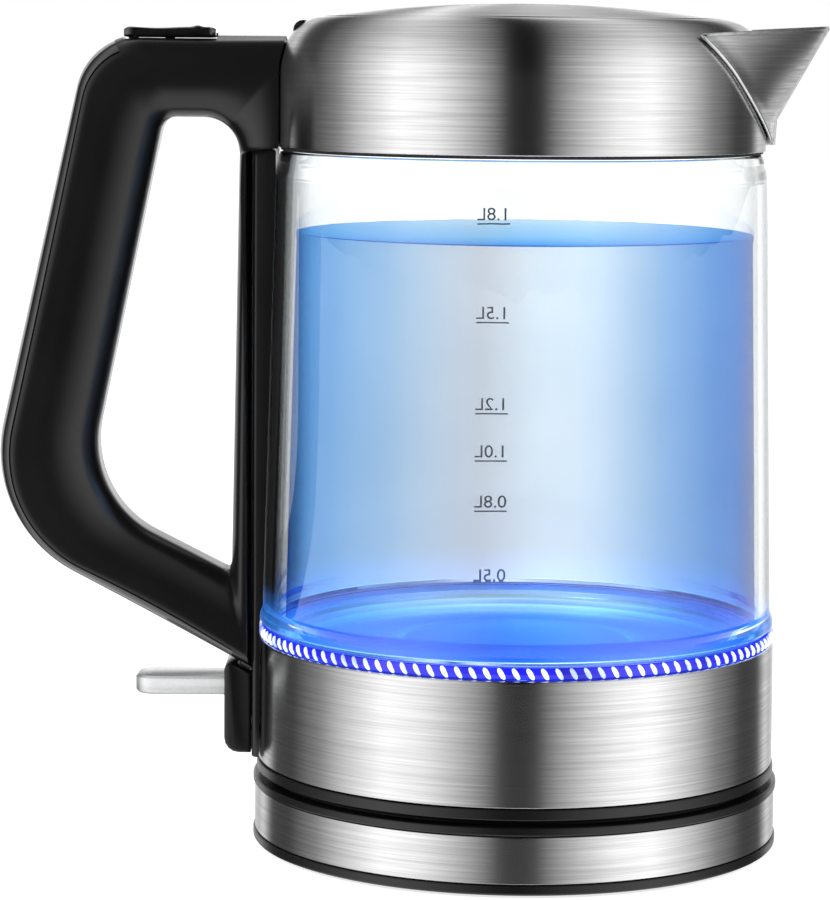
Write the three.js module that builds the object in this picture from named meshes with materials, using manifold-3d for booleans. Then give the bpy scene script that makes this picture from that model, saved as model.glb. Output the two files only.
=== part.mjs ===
// Cordless electric kettle: glass jug on a 360-degree power base.
// Millimetres, +Z up. The origin is on the jug's vertical axis at table height;
// the handle is towards -X and the spout towards +X.

import * as THREE from 'three';
import { mergeVertices } from 'three/addons/utils/BufferGeometryUtils.js';
import Module from 'manifold-3d';

const wasm = await Module();
wasm.setup();

// ---- driving dimensions ----
const ROUND = 40;              // sides of a large body of revolution
const SMALL_ROUND = 16;        // sides of a small one
const GAP = 0.3;               // clearance between neighbouring pieces

const BASE_R = 78.8;           // black rims of the power base
const BAND_R = 78.3;           // steel band between them
const FOOT_HEIGHT = 1.5;
const BAND_LOW = 3.9;
const BAND_HIGH = 17.6;
const BASE_TOP = 20.3;

const HOUSING_R = 77.4;        // steel housing under the glass
const HOUSING_LOW = 25.5;
const HOUSING_HIGH = 61.8;
const SHEET = 0.8;             // thickness of the steel sheet

const GLASS_LOW = 65.8;
const GLASS_HIGH = 206.6;
const GLASS_WALL = 3.2;
const GLASS_FOOT_R = 77.0;     // the glass flares a little above the light ring
const GLASS_TOP_R = 73.0;

const COLLAR_R = 72.6;
const COLLAR_LOW = 207.8;
const SHOULDER_LOW = 229;      // the collar's straight wall ends here
const SHOULDER_DROP = 17;      // height of the rounded shoulder
const MOUTH_R = 60.1;          // lid opening in the collar

const LID_R = 59.5;
const LID_EDGE = 246.2;
const LID_CROWN = 250.2;
const HINGE_X = -64.5;
const HINGE_Z = 242;

const SPOUT_TIP_X = 90;
const SPOUT_TIP_Z = 243.9;
const SPOUT_HALF_ANGLE = 46;   // degrees, where the spout's wings meet the collar's rim
const SPOUT_LOW = 209.4;
const WING_CROWN = 0.4;        // how far the spout's wings bow outwards

const HANDLE_HALF = 14.5;      // half the handle's width along Y
const HANDLE_TOP = 240.2;
const STRIP_DEPTH = 4;         // glossy back strip let into the handle
const STRIP_HALF = 9.5;
const LEG_X = -79.2;           // where the handle's inner leg ends

const BUTTON_X = [-117.2, -90.2];
const BUTTON_HALF = 8;
const BUTTON_TOP = 243.2;
const LATCH_Z = [234.4, 237.8];

const LEVER_Z = 46.7;
const LEVER_TIP_X = -114.2;
const LEVER_HALF = 8.4;
const LEVER_THICK = 5.6;
const LEVER_PIVOT_X = -82.6;

// ---- finishes ----
const finish = (color, roughness, metalness) =>
  () => new THREE.MeshStandardMaterial({ color, roughness, metalness });
const satinBlack = finish(0x1f1f20, 0.5, 0);
const glossBlack = finish(0x101011, 0.15, 0);
const brushedSteel = finish(0xb9b9b8, 0.35, 1);
const brightSteel = finish(0xd0d0d0, 0.2, 1);
const clearGlass = finish(0xdfeaf0, 0.05, 0);
const clearPlastic = finish(0xe8ecec, 0.2, 0);
const silicone = finish(0xd9dcdc, 0.6, 0);
const darkRubber = finish(0x141414, 0.8, 0);
const brass = finish(0xc9a45a, 0.35, 1);
const castAluminium = finish(0xa7a9aa, 0.5, 1);
const circuitGreen = finish(0x1f5b3a, 0.5, 0);
const ledBlue = finish(0x3a6cff, 0.3, 0);

// ---- solids ----
function closedMesh(geometry) {
  const bare = geometry.clone();
  bare.deleteAttribute('normal');
  bare.deleteAttribute('uv');
  return mergeVertices(bare, 1e-4);
}

function toSolid(geometry) {
  const merged = closedMesh(geometry);
  const mesh = new wasm.Mesh({
    numProp: 3,
    vertProperties: new Float32Array(merged.attributes.position.array),
    triVerts: new Uint32Array(merged.index.array),
  });
  mesh.merge();
  return new wasm.Manifold(mesh);
}

function toGeometry(solid) {
  const mesh = solid.getMesh();
  const geometry = new THREE.BufferGeometry();
  geometry.setAttribute('position', new THREE.BufferAttribute(mesh.vertProperties, 3));
  geometry.setIndex(new THREE.BufferAttribute(mesh.triVerts, 1));
  return geometry;
}

function cut(geometry, ...tools) {
  let solid = toSolid(geometry);
  for (const tool of tools) solid = solid.subtract(toSolid(tool));
  return toGeometry(solid);
}

function join(...geometries) {
  const solids = geometries.map(toSolid);
  return toGeometry(solids.reduce((whole, next) => whole.add(next)));
}

function common(first, second) {
  return toGeometry(toSolid(first).intersect(toSolid(second)));
}

function part(name, geometry, material) {
  const mesh = new THREE.Mesh(geometry, material());
  mesh.name = name;
  return mesh;
}

// A closed [radius, z] outline, listed anticlockwise with the axis on its left, turned about Z.
function turned(outline, sides = ROUND) {
  const onAxis = outline[0][0] === 0;
  const loop = onAxis ? outline : [...outline, outline[0]];
  const points = loop.map(([r, z]) => new THREE.Vector2(r, z));
  return new THREE.LatheGeometry(points, sides).rotateX(Math.PI / 2);
}

function ring(inner, outer, low, high, sides = ROUND) {
  return turned([[inner, low], [outer, low], [outer, high], [inner, high]], sides);
}

function disc(radius, low, high, sides = SMALL_ROUND) {
  return turned([[0, low], [radius, low], [radius, high], [0, high]], sides);
}

function box(x0, x1, y0, y1, z0, z1) {
  return new THREE.BoxGeometry(x1 - x0, y1 - y0, z1 - z0)
    .translate((x0 + x1) / 2, (y0 + y1) / 2, (z0 + z1) / 2);
}

// Cylinders lying along X or Y.
function rodX(radius, x0, x1, y, z, sides = SMALL_ROUND) {
  return new THREE.CylinderGeometry(radius, radius, x1 - x0, sides)
    .rotateZ(Math.PI / 2).translate((x0 + x1) / 2, y, z);
}

function rodY(radius, y0, y1, x, z, sides = SMALL_ROUND) {
  return new THREE.CylinderGeometry(radius, radius, y1 - y0, sides)
    .translate(x, (y0 + y1) / 2, z);
}

// ---- outlines in the XZ plane ----
// Corners are [x, z, radius]; each radius becomes an arc of a few points.
function roundedOutline(corners, arcSteps = 6) {
  const points = [];
  corners.forEach(([x, z, radius = 0], i) => {
    const here = new THREE.Vector2(x, z);
    const before = new THREE.Vector2(...corners.at(i - 1).slice(0, 2));
    const after = new THREE.Vector2(...corners[(i + 1) % corners.length].slice(0, 2));
    if (radius === 0) {
      points.push(here);
      return;
    }
    const back = before.sub(here).normalize();
    const forth = after.sub(here).normalize();
    const half = Math.acos(THREE.MathUtils.clamp(back.dot(forth), -1, 1)) / 2;
    const toCentre = back.clone().add(forth).normalize();
    const centre = here.clone().addScaledVector(toCentre, radius / Math.sin(half));
    const start = here.clone().addScaledVector(back, radius / Math.tan(half)).sub(centre);
    const end = here.clone().addScaledVector(forth, radius / Math.tan(half)).sub(centre);
    let sweep = end.angle() - start.angle();
    if (sweep > Math.PI) sweep -= 2 * Math.PI;
    if (sweep < -Math.PI) sweep += 2 * Math.PI;
    for (let step = 0; step <= arcSteps; step++) {
      const turn = start.clone().rotateAround(new THREE.Vector2(), sweep * step / arcSteps);
      points.push(turn.add(centre));
    }
  });
  return points;
}

// Moves every edge of an anticlockwise outline inwards (outwards if negative).
function inset(corners, distance) {
  const edges = corners.map(([x, z], i) => {
    const [nextX, nextZ] = corners[(i + 1) % corners.length];
    const along = new THREE.Vector2(nextX - x, nextZ - z).normalize();
    const inward = new THREE.Vector2(-along.y, along.x);
    return { along, origin: new THREE.Vector2(x, z).addScaledVector(inward, distance) };
  });
  return corners.map(([, , radius = 0], i) => {
    const a = edges.at(i - 1);
    const b = edges[i];
    const offset = b.origin.clone().sub(a.origin);
    const reach = offset.cross(b.along) / a.along.cross(b.along);
    const corner = a.origin.clone().addScaledVector(a.along, reach);
    return [corner.x, corner.y, radius === 0 ? 0 : Math.max(radius - distance, 0.5)];
  });
}

// A plate of the given XZ outline, from -half to +half along Y, with rounded long edges.
function plateXZ(outline, half, bevel = 0) {
  const shape = new THREE.Shape(outline);
  const options = { depth: 2 * (half - bevel), bevelEnabled: bevel > 0, curveSegments: 6 };
  if (bevel > 0) {
    Object.assign(options, {
      bevelThickness: bevel, bevelSize: bevel, bevelOffset: -bevel, bevelSegments: 2,
    });
  }
  return new THREE.ExtrudeGeometry(shape, options)
    .rotateX(Math.PI / 2).translate(0, half - bevel, 0);
}

// ---- power base ----
const GLAND_Z = 10.5;
const SCREW_PLACES = [90, 210, 330];
const BASE_SCREW_CIRCLE = 48;

function polar(radius, degrees) {
  const angle = THREE.MathUtils.degToRad(degrees);
  return [radius * Math.cos(angle), radius * Math.sin(angle)];
}

function baseBottom() {
  const plate = turned([
    [0, 0.9], [20, 0.9], [20, 1.8], [76, 1.8], [76.6, 0.8], [BASE_R - 0.5, 0.8],
    [BASE_R, 1.3], [BASE_R, BAND_LOW - GAP], [0, BAND_LOW - GAP],
  ]);
  const holes = SCREW_PLACES.map((angle) =>
    disc(3.3, 0, 6).translate(...polar(BASE_SCREW_CIRCLE, angle), 0));
  return cut(plate, ...holes);
}

function baseBand() {
  const band = ring(BAND_R - SHEET, BAND_R, BAND_LOW, BAND_HIGH);
  return cut(band, rodY(6.2, BAND_R - 8, BAND_R + 2, 0, GLAND_Z));
}

function baseTop() {
  const cover = turned([
    [21.4, 17.9], [74, 17.9], [BASE_R, 17.9], [BASE_R, BASE_TOP - 0.5], [BASE_R - 0.5, BASE_TOP],
    [74.6, BASE_TOP], [74, 21.6], [71, 21.6], [70.4, 20.2], [26, 20.2], [24.5, 21.6], [21.4, 21.6],
  ]);
  const posts = SCREW_PLACES.map((angle) =>
    ring(1.9, 4, 9, 18.5, SMALL_ROUND).translate(...polar(BASE_SCREW_CIRCLE, angle), 0));
  return join(cover, ...posts);
}

function baseSocket() {
  return turned([
    [3, 18], [3, 8], [20.9, 8], [20.9, 27], [19, 30.5], [16, 30.5], [16, 16], [12.5, 16],
    [12.5, 30.5], [8.5, 30.5], [8.5, 16], [5, 16], [5, 30.5], [3, 30.5],
  ], 32);
}

function cordGland() {
  const sleeve = rodY(5.8, BAND_R - 6, BAND_R + 0.3, 0, GLAND_Z);
  const flange = rodY(6.6, BAND_R - 3.4, BAND_R - SHEET - 1, 0, GLAND_Z);
  return cut(join(sleeve, flange), rodY(3.4, BAND_R - 10, BAND_R + 2, 0, GLAND_Z));
}

function screwUp(low) {
  return turned([
    [0, low], [2.9, low], [2.9, low + 1.4], [1.6, low + 1.4], [1.6, low + 12], [0, low + 12],
  ], 12);
}

function powerBase() {
  const group = new THREE.Group();
  group.add(part('base_bottom', baseBottom(), satinBlack));
  group.add(part('base_band', baseBand(), brushedSteel));
  group.add(part('base_top', baseTop(), satinBlack));
  group.add(part('base_socket', baseSocket(), satinBlack));
  group.add(part('contact_outer', ring(13.6, 14.9, 16.3, 22, 32), brass));
  group.add(part('contact_inner', ring(6.1, 7.4, 16.3, 22, SMALL_ROUND), brass));
  group.add(part('cord_gland', cordGland(), darkRubber));
  for (const [i, angle] of [45, 135, 225, 315].entries()) {
    const foot = part(`foot_${i + 1}`, disc(6, 0, FOOT_HEIGHT), darkRubber);
    foot.position.set(...polar(66, angle), 0);
    group.add(foot);
  }
  for (const [i, angle] of SCREW_PLACES.entries()) {
    const screw = part(`base_screw_${i + 1}`, screwUp(2), brightSteel);
    screw.position.set(...polar(BASE_SCREW_CIRCLE, angle), 0);
    group.add(screw);
  }
  return group;
}

// ---- swivel connector under the jug ----
function swivelConnector() {
  const group = new THREE.Group();
  const cup = turned([
    [0, 31.4], [21.6, 31.4], [21.6, 22.6], [24.6, 22.6], [24.6, 37], [0, 37],
  ], 32);
  group.add(part('jug_connector', cup, satinBlack));
  group.add(part('pin_outer', ring(13.8, 14.7, 23, 31.1, 32), brass));
  group.add(part('pin_inner', ring(6.3, 7.2, 23, 31.1, SMALL_ROUND), brass));
  group.add(part('pin_earth', disc(1.6, 20, 31.1, 12), brass));
  return group;
}

// ---- lower housing, heater and lights ----
const LOWER_SCREW_Z = 32;

function jugBottom() {
  return turned([
    [25.2, 22.8], [70, 22.8], [70.6, 21.9], [77, 21.9], [77.8, 22.6], [77.8, 25.2],
    [76, 25.2], [76, 27.5], [74.8, 27.5], [74.8, 25], [25.2, 25],
  ]);
}

function lowerHousing() {
  const sheet = turned([
    [HOUSING_R - SHEET, HOUSING_LOW], [HOUSING_R, HOUSING_LOW], [HOUSING_R - 0.2, HOUSING_HIGH],
    [75.6, HOUSING_HIGH], [75.6, HOUSING_HIGH - SHEET], [HOUSING_R - SHEET - 0.2, HOUSING_HIGH - SHEET],
  ]);
  return cut(sheet, rodX(1.8, -80, -70, 0, LOWER_SCREW_Z), rodX(4, -80, -70, 0, LEVER_Z - 2));
}

function heatingPlate() {
  return turned([
    [0, 60], [32, 60], [34, 58.8], [70.6, 58.8], [70.6, 64], [69.8, 64], [69.8, 62],
    [66, 60.2], [58, 59.8], [36, 59.8], [33.5, 61], [0, 61],
  ]);
}

function heatingElement() {
  const shape = new THREE.Shape();
  const open = THREE.MathUtils.degToRad(18);
  shape.absarc(0, 0, 52, open, 2 * Math.PI - open, false);
  shape.absarc(0, 0, 42, 2 * Math.PI - open, open, true);
  return new THREE.ExtrudeGeometry(shape, { depth: 5, bevelEnabled: false, curveSegments: 18 })
    .translate(0, 0, 53);
}

function heaterAndLights() {
  const group = new THREE.Group();
  group.add(part('jug_bottom', jugBottom(), satinBlack));
  group.add(part('lower_housing', lowerHousing(), brushedSteel));
  group.add(part('control_unit', disc(22, 37.6, 51, 24), satinBlack));
  group.add(part('heating_element', heatingElement(), castAluminium));
  group.add(part('heating_plate', heatingPlate(), brightSteel));
  group.add(part('lower_seal', ring(71, 73, 62.1, 65.4), silicone));
  group.add(part('light_ring', ring(73.4, 77.5, 62.1, 65.4), clearPlastic));
  group.add(part('led_board', ring(71.6, 75.2, 56.6, 58.2), circuitGreen));
  for (const [i, angle] of [0, 60, 120, 180, 240, 300].entries()) {
    const led = part(`led_${i + 1}`, box(-1.4, 1.4, -1.6, 1.6, 58.5, 60.3), ledBlue);
    led.position.set(...polar(73.4, angle + 30), 0);
    group.add(led);
  }
  return group;
}

// ---- glass jug ----
function glassJug() {
  const shoulder = GLASS_TOP_R - 1.7;
  return turned([
    [GLASS_FOOT_R - GLASS_WALL - 1.2, GLASS_LOW], [GLASS_FOOT_R - 1.2, GLASS_LOW],
    [GLASS_FOOT_R, GLASS_LOW + 1.2], [GLASS_FOOT_R, GLASS_LOW + 3], [GLASS_FOOT_R - 0.9, 71.5],
    [GLASS_TOP_R + 0.4, 185], [GLASS_TOP_R, 199], [shoulder + 1, 203.6], [shoulder, GLASS_HIGH],
    [shoulder - GLASS_WALL, GLASS_HIGH], [GLASS_TOP_R - GLASS_WALL, 199],
    [GLASS_TOP_R + 0.4 - GLASS_WALL, 185], [GLASS_FOOT_R - 0.9 - GLASS_WALL, 71.5],
  ]);
}

// ---- steel collar, its liner and the spout ----
// Radius of the collar's outside at height z.
function collarRadius(z) {
  const climb = THREE.MathUtils.clamp((z - SHOULDER_LOW) / SHOULDER_DROP, 0, 1);
  return MOUTH_R + (COLLAR_R - MOUTH_R) * Math.sqrt(1 - climb * climb);
}

function shoulderArc(shrink, steps = 6) {
  const points = [];
  for (let step = 0; step <= steps; step++) {
    const angle = (Math.PI / 2) * (step / steps);
    points.push([
      MOUTH_R + (COLLAR_R - MOUTH_R - shrink) * Math.cos(angle),
      SHOULDER_LOW + (SHOULDER_DROP - shrink) * Math.sin(angle),
    ]);
  }
  return points;
}

// The pour window behind the spout, cut straight along X.
function spoutWindow() {
  const shape = new THREE.Shape([
    new THREE.Vector2(-5, 213), new THREE.Vector2(5, 213),
    new THREE.Vector2(30, 231), new THREE.Vector2(-30, 231),
  ]);
  return new THREE.ExtrudeGeometry(shape, { depth: 30, bevelEnabled: false })
    .rotateX(Math.PI / 2).rotateZ(Math.PI / 2).translate(52, 0, 0);
}

const HINGE_HALF = 13.4;                    // half width of the hinge recess along Y
const EAR_Y = 10.6;                        // middle of each hinge ear
const LID_ARM_Y = 6.2;                     // middle of each of the lid's arms, inside the ears
const LID_ARM_HALF = 2.4;
const UPPER_SCREWS = [[-8, 213.5], [8, 213.5]];

function upperScrewHoles(radius) {
  return UPPER_SCREWS.map(([y, z]) => rodX(radius, -90, -60, y, z, 12));
}

function collar() {
  const lip = SHEET;
  const shell = turned([
    [COLLAR_R - SHEET, COLLAR_LOW], [COLLAR_R, COLLAR_LOW], ...shoulderArc(0),
    [MOUTH_R, 241.5], [MOUTH_R + lip, 241.5], [MOUTH_R + lip, 245],
    ...shoulderArc(SHEET).reverse().slice(1),
  ]);
  const hingeRecess = box(-74, -50, -HINGE_HALF, HINGE_HALF, 238.4, 250);
  const latchWay = box(-76, -50, -4.6, 4.6, LATCH_Z[0] - 0.6, 239);
  return cut(shell, spoutWindow(), hingeRecess, latchWay, ...upperScrewHoles(1.8));
}

function collarLiner() {
  const wall = ring(69.3, 71.2, 211.6, 233);
  const bridge = common(box(-72, -55, -HINGE_HALF + 1, HINGE_HALF - 1, 225, 239),
    turned([[60.8, 226], [70.5, 226], [70.5, 232.9], [69, 238], [60.8, 238]]));
  const ear = (y) => join(box(-66.6, -62.4, y - 1.7, y + 1.7, 236, HINGE_Z),
    rodY(2.9, y - 1.7, y + 1.7, HINGE_X, HINGE_Z));
  const body = join(wall, bridge, ear(-EAR_Y), ear(EAR_Y));
  return cut(body, spoutWindow(), box(-76, -50, -4.6, 4.6, LATCH_Z[0] - 0.6, 239),
    rodY(1.5, -HINGE_HALF, HINGE_HALF, HINGE_X, HINGE_Z, 12), ...upperScrewHoles(1.8));
}

// The folded V: each wing is ruled between the keel and a curve climbing the collar.
function spout(wingSteps = 5, heightSteps = 10) {
  const keelBend = [74.9, 217];
  const wall = 1.1;
  const keel = (u) => {
    const low = 0.2;
    if (u < low) {
      return [74.4 + (keelBend[0] - 74.4) * u / low, SPOUT_LOW + (keelBend[1] - SPOUT_LOW) * u / low];
    }
    const t = (u - low) / (1 - low);
    return [keelBend[0] + (SPOUT_TIP_X - keelBend[0]) * t,
      keelBend[1] + (SPOUT_TIP_Z - keelBend[1]) * t];
  };
  const root = (u, side, inner) => {
    const z = SPOUT_LOW + (241.4 - SPOUT_LOW) * u;
    const angle = 3 + (SPOUT_HALF_ANGLE - 3) * u ** 0.6 - (inner ? 1 : 0);
    const radius = collarRadius(z) + 0.4;
    const [x, y] = polar(radius, side * angle);
    return [x, y, z];
  };
  const point = (u, v, inner) => {
    const [rootX, rootY, rootZ] = root(u, Math.sign(v) || 1, inner);
    const [keelX, keelZ] = keel(u);
    const apexX = keelX - (inner ? wall : 0);
    const reach = Math.abs(v);
    const x = apexX + (rootX - apexX) * reach;
    const y = rootY * reach * (1 + WING_CROWN * (1 - reach));
    const z = keelZ + (rootZ - keelZ) * reach;
    // The wings lap the collar where they leave it.
    const least = collarRadius(z) + (inner ? 0.35 : 1.2);
    const push = Math.max(1, least / Math.hypot(x, y));
    return [x * push, y * push, z];
  };
  const across = 2 * wingSteps + 1;
  const vertices = [];
  for (const inner of [false, true]) {
    for (let i = 0; i <= heightSteps; i++) {
      for (let j = 0; j < across; j++) {
        vertices.push(...point(i / heightSteps, j / wingSteps - 1, inner));
      }
    }
  }
  const layer = (heightSteps + 1) * across;
  const at = (inner, i, j) => (inner ? layer : 0) + i * across + j;
  const faces = [];
  const quad = (a, b, c, d) => faces.push(a, b, c, a, c, d);
  for (let i = 0; i < heightSteps; i++) {
    for (let j = 0; j < across - 1; j++) {
      quad(at(0, i, j), at(0, i, j + 1), at(0, i + 1, j + 1), at(0, i + 1, j));
      quad(at(1, i, j), at(1, i + 1, j), at(1, i + 1, j + 1), at(1, i, j + 1));
    }
    const last = across - 1;
    quad(at(0, i, 0), at(0, i + 1, 0), at(1, i + 1, 0), at(1, i, 0));
    quad(at(0, i, last), at(1, i, last), at(1, i + 1, last), at(0, i + 1, last));
  }
  for (let j = 0; j < across - 1; j++) {
    quad(at(0, 0, j), at(1, 0, j), at(1, 0, j + 1), at(0, 0, j + 1));
    quad(at(0, heightSteps, j), at(0, heightSteps, j + 1),
      at(1, heightSteps, j + 1), at(1, heightSteps, j));
  }
  const geometry = new THREE.BufferGeometry();
  geometry.setAttribute('position', new THREE.Float32BufferAttribute(vertices, 3));
  geometry.setIndex(faces);
  return geometry;
}

// The filter stands upright behind the pour window: a frame round a pierced steel sheet.
function filterFrame() {
  return cut(box(61, 63.4, -27, 27, 211.5, 229.5), box(60, 65, -24, 24, 213.9, 227.1));
}

function filterMesh() {
  const holes = [];
  for (let row = 0; row < 3; row++) {
    for (let column = 0; column < 8; column++) {
      const y = -19.25 + 5.5 * column;
      const z = 216.5 + 4 * row;
      holes.push(box(61, 63, y - 2, y + 2, z - 1.4, z + 1.4));
    }
  }
  return cut(box(61.8, 62.4, -23.7, 23.7, 214.2, 226.8), ...holes);
}

function collarGroup() {
  const group = new THREE.Group();
  group.add(part('glass_jug', glassJug(), clearGlass));
  group.add(part('upper_seal', ring(68.5, 71.3, 206.9, 211.2), darkRubber));
  group.add(part('collar', collar(), brushedSteel));
  group.add(part('collar_liner', collarLiner(), satinBlack));
  group.add(part('spout', spout(), brushedSteel));
  group.add(part('filter_frame', filterFrame(), satinBlack));
  group.add(part('filter_mesh', filterMesh(), brightSteel));
  return group;
}

// ---- lid ----
function lidCap() {
  const crown = (r, drop) => LID_CROWN - (LID_CROWN - LID_EDGE) * (r / LID_R) ** 2 - drop;
  const radii = [20, 42];
  return turned([
    [0, crown(0, 1)], ...radii.map((r) => [r, crown(r, 1)]), [LID_R - 1, 245.1], [LID_R, 245.1],
    [LID_R, LID_EDGE], ...radii.toReversed().map((r) => [r, crown(r, 0)]), [0, LID_CROWN],
  ]);
}

function lidBase() {
  const plug = turned([
    [0, 235], [50, 235], [52, 233], [56, 233], [57.6, 235.4], [57.6, 239], [56, 239], [56, 241.6],
    [57.6, 241.6], [58.6, 244.8], [0, 244.8],
  ]);
  const arm = (y) => cut(
    join(box(-63.6, -55, y - LID_ARM_HALF, y + LID_ARM_HALF, 242, 244.6),
      rodY(2.9, y - LID_ARM_HALF, y + LID_ARM_HALF, HINGE_X, HINGE_Z)),
    rodY(1.5, y - 3, y + 3, HINGE_X, HINGE_Z, 12));
  const catchSlot = box(-60, -54.6, -6.3, 6.3, 232, 239.2);
  return join(cut(plug, catchSlot), arm(-LID_ARM_Y), arm(LID_ARM_Y));
}

function lidSpring() {
  return helix(3, 8, 0.5, (angle, along) => new THREE.Vector3(
    HINGE_X + 2.4 * Math.cos(angle), 5.8 * along - 2.9, HINGE_Z + 2.4 * Math.sin(angle)));
}

// A coiled wire of square section; place(angle, along) gives each point of its centre line.
function helix(turns, stepsPerTurn, radius, place) {
  const steps = turns * stepsPerTurn;
  const points = [];
  for (let step = 0; step <= steps; step++) {
    points.push(place((step / stepsPerTurn) * 2 * Math.PI, step / steps));
  }
  const section = new THREE.Shape();
  section.absarc(0, 0, radius, 0, 2 * Math.PI, false);
  return new THREE.ExtrudeGeometry(section, {
    steps, curveSegments: 2, bevelEnabled: false, extrudePath: new THREE.CatmullRomCurve3(points),
  });
}

function lid() {
  const group = new THREE.Group();
  group.add(part('lid_base', lidBase(), satinBlack));
  group.add(part('lid_cap', lidCap(), brushedSteel));
  group.add(part('lid_seal', ring(56.3, 58.6, 239.3, 241.3), silicone));
  group.add(part('lid_catch', box(-59.6, -54.9, -6, 6, 234, 238.8), brightSteel));
  return group;
}

// ---- handle ----
// The outline runs anticlockwise in XZ, seen with the spout to the right.
const HANDLE_CORNERS = [
  [-64, HANDLE_TOP], [-128.4, HANDLE_TOP, 19.4], [-160.6, 95.3, 41],
  [LEG_X, 51.8], [LEG_X, 207.5], [-64, 207.5],
];
const GRIP_HOLE = [
  [-83.1, 216.3, 12], [-105.6, 216.3, 4.5], [-129.4, 102.9, 31], [-85.3, 80.5, 1.5],
];

function handleSolid() {
  const loop = plateXZ(roundedOutline(HANDLE_CORNERS, 8), HANDLE_HALF, 5.5);
  return cut(loop, plateXZ(roundedOutline(GRIP_HOLE), HANDLE_HALF + 1));
}

// The band along the handle's back that the glossy strip fills, less a clearance all round.
function stripZone(clearance) {
  const half = STRIP_HALF - clearance;
  const around = plateXZ(roundedOutline(inset(HANDLE_CORNERS, -4), 8), half);
  const core = plateXZ(roundedOutline(inset(HANDLE_CORNERS, STRIP_DEPTH - clearance), 8), half + 1);
  const frontEnd = box(-119.5 - clearance, -50, -20, 20, 200, 260);
  const legEnd = box(-82.6 - clearance, -50, -20, 20, 30, 250);
  return cut(around, core, frontEnd, legEnd);
}

function handleHollow() {
  const wall = STRIP_DEPTH + 3;
  const inside = plateXZ(roundedOutline(inset(HANDLE_CORNERS, wall), 6), HANDLE_HALF - 4);
  const gripSide = plateXZ(roundedOutline(inset(GRIP_HOLE, -3)), HANDLE_HALF);
  const leg = box(-89, -50, -20, 20, 40, 219);
  return cut(inside, gripSide, leg);
}

function handleShell() {
  const buttonWay = box(BUTTON_X[0] - 0.4, BUTTON_X[1] + 0.4, -BUTTON_HALF - 0.4, BUTTON_HALF + 0.4,
    236, 250);
  const latchWay = box(-119, -60, -9, 9, 231.8, 238.4);
  const steamWay = box(-83, -70, -4, 4, 50, 225);
  const collarSpace = turned([
    [0, 200], [COLLAR_R + 0.4, 200], ...shoulderArc(-0.4), [MOUTH_R, 250], [0, 250],
  ]);
  return cut(handleSolid(), stripZone(0), handleHollow(), buttonWay, latchWay, steamWay,
    collarSpace, ...upperScrewHoles(1.8));
}

// The saddle between the handle's leg and the round jug.
function handleSpine() {
  const bar = box(-78.9, -70, -13, 13, 26, 207.2);
  const jugSpace = turned([
    [0, 20], [HOUSING_R + 0.4, 20], [HOUSING_R + 0.3, 66], [GLASS_FOOT_R + 0.5, 70],
    [GLASS_FOOT_R - 0.3, 72.5], [GLASS_TOP_R + 0.8, 186], [GLASS_TOP_R + 0.4, 200],
    [GLASS_TOP_R + 0.4, 210], [0, 210],
  ]);
  return cut(bar, jugSpace, rodX(1.8, -90, -60, 0, LOWER_SCREW_Z));
}

function switchHousing() {
  const outline = roundedOutline([
    [LEG_X, 51.2], [-87.2, 55.4, 2], [-87.2, 27, 4.5], [LEG_X, 27],
  ], 4);
  const shell = plateXZ(outline, 11.5, 1);
  const well = box(-85.6, -70, -9.4, 9.4, 35.6, 50.2);
  const leverSlot = box(-95, -84, -LEVER_HALF - 0.5, LEVER_HALF + 0.5, 42.4, 51.2);
  const pinBore = rodY(0.95, -10.6, 10.6, LEVER_PIVOT_X, LEVER_Z, 12);
  const steamInlet = box(-83, -78, -4, 4, 49, 60);
  const screwBore = rodX(1.3, -83.8, -70, 0, LOWER_SCREW_Z, 12);
  return cut(shell, well, leverSlot, pinBore, steamInlet, screwBore);
}

function switchLever() {
  const halfThick = LEVER_THICK / 2;
  const shape = new THREE.Shape(roundedOutline([
    [-84, -LEVER_HALF + 0.4], [-84, LEVER_HALF - 0.4], [LEVER_TIP_X, LEVER_HALF, 6],
    [LEVER_TIP_X, -LEVER_HALF, 6],
  ]));
  const paddle = new THREE.ExtrudeGeometry(shape, {
    depth: LEVER_THICK - 1.6, bevelThickness: 0.8, bevelSize: 0.8, bevelOffset: -0.8,
    bevelSegments: 1,
  }).translate(0, 0, LEVER_Z - halfThick + 0.8);
  const hub = rodY(2.4, -LEVER_HALF + 0.8, LEVER_HALF - 0.8, LEVER_PIVOT_X, LEVER_Z);
  return cut(join(paddle, hub), rodY(1.15, -12, 12, LEVER_PIVOT_X, LEVER_Z, 12));
}

function releaseButton() {
  const [x0, x1] = BUTTON_X;
  const cap = box(x0, x1, -BUTTON_HALF, BUTTON_HALF, BUTTON_TOP - 2, BUTTON_TOP);
  const stem = box(-105.5, -102.5, -1.8, 1.8, 235.4, BUTTON_TOP - 1);
  const skirt = (y0, y1) => box(x0, x1, y0, y1, BUTTON_TOP - 3.8, BUTTON_TOP - 1);
  return join(cap, stem, skirt(-BUTTON_HALF, 1.4 - BUTTON_HALF), skirt(BUTTON_HALF - 1.4, BUTTON_HALF));
}

function latchSlider() {
  return cut(box(-108.2, -60.9, -4, 4, ...LATCH_Z), box(-106.4, -99.4, -2.2, 2.2, 230, 240));
}

function buttonSpring() {
  return helix(4, 8, 0.4, (angle, along) => new THREE.Vector3(
    -114 + 2.2 * Math.cos(angle), 2.2 * Math.sin(angle), 232.7 + 7.8 * along));
}

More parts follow.
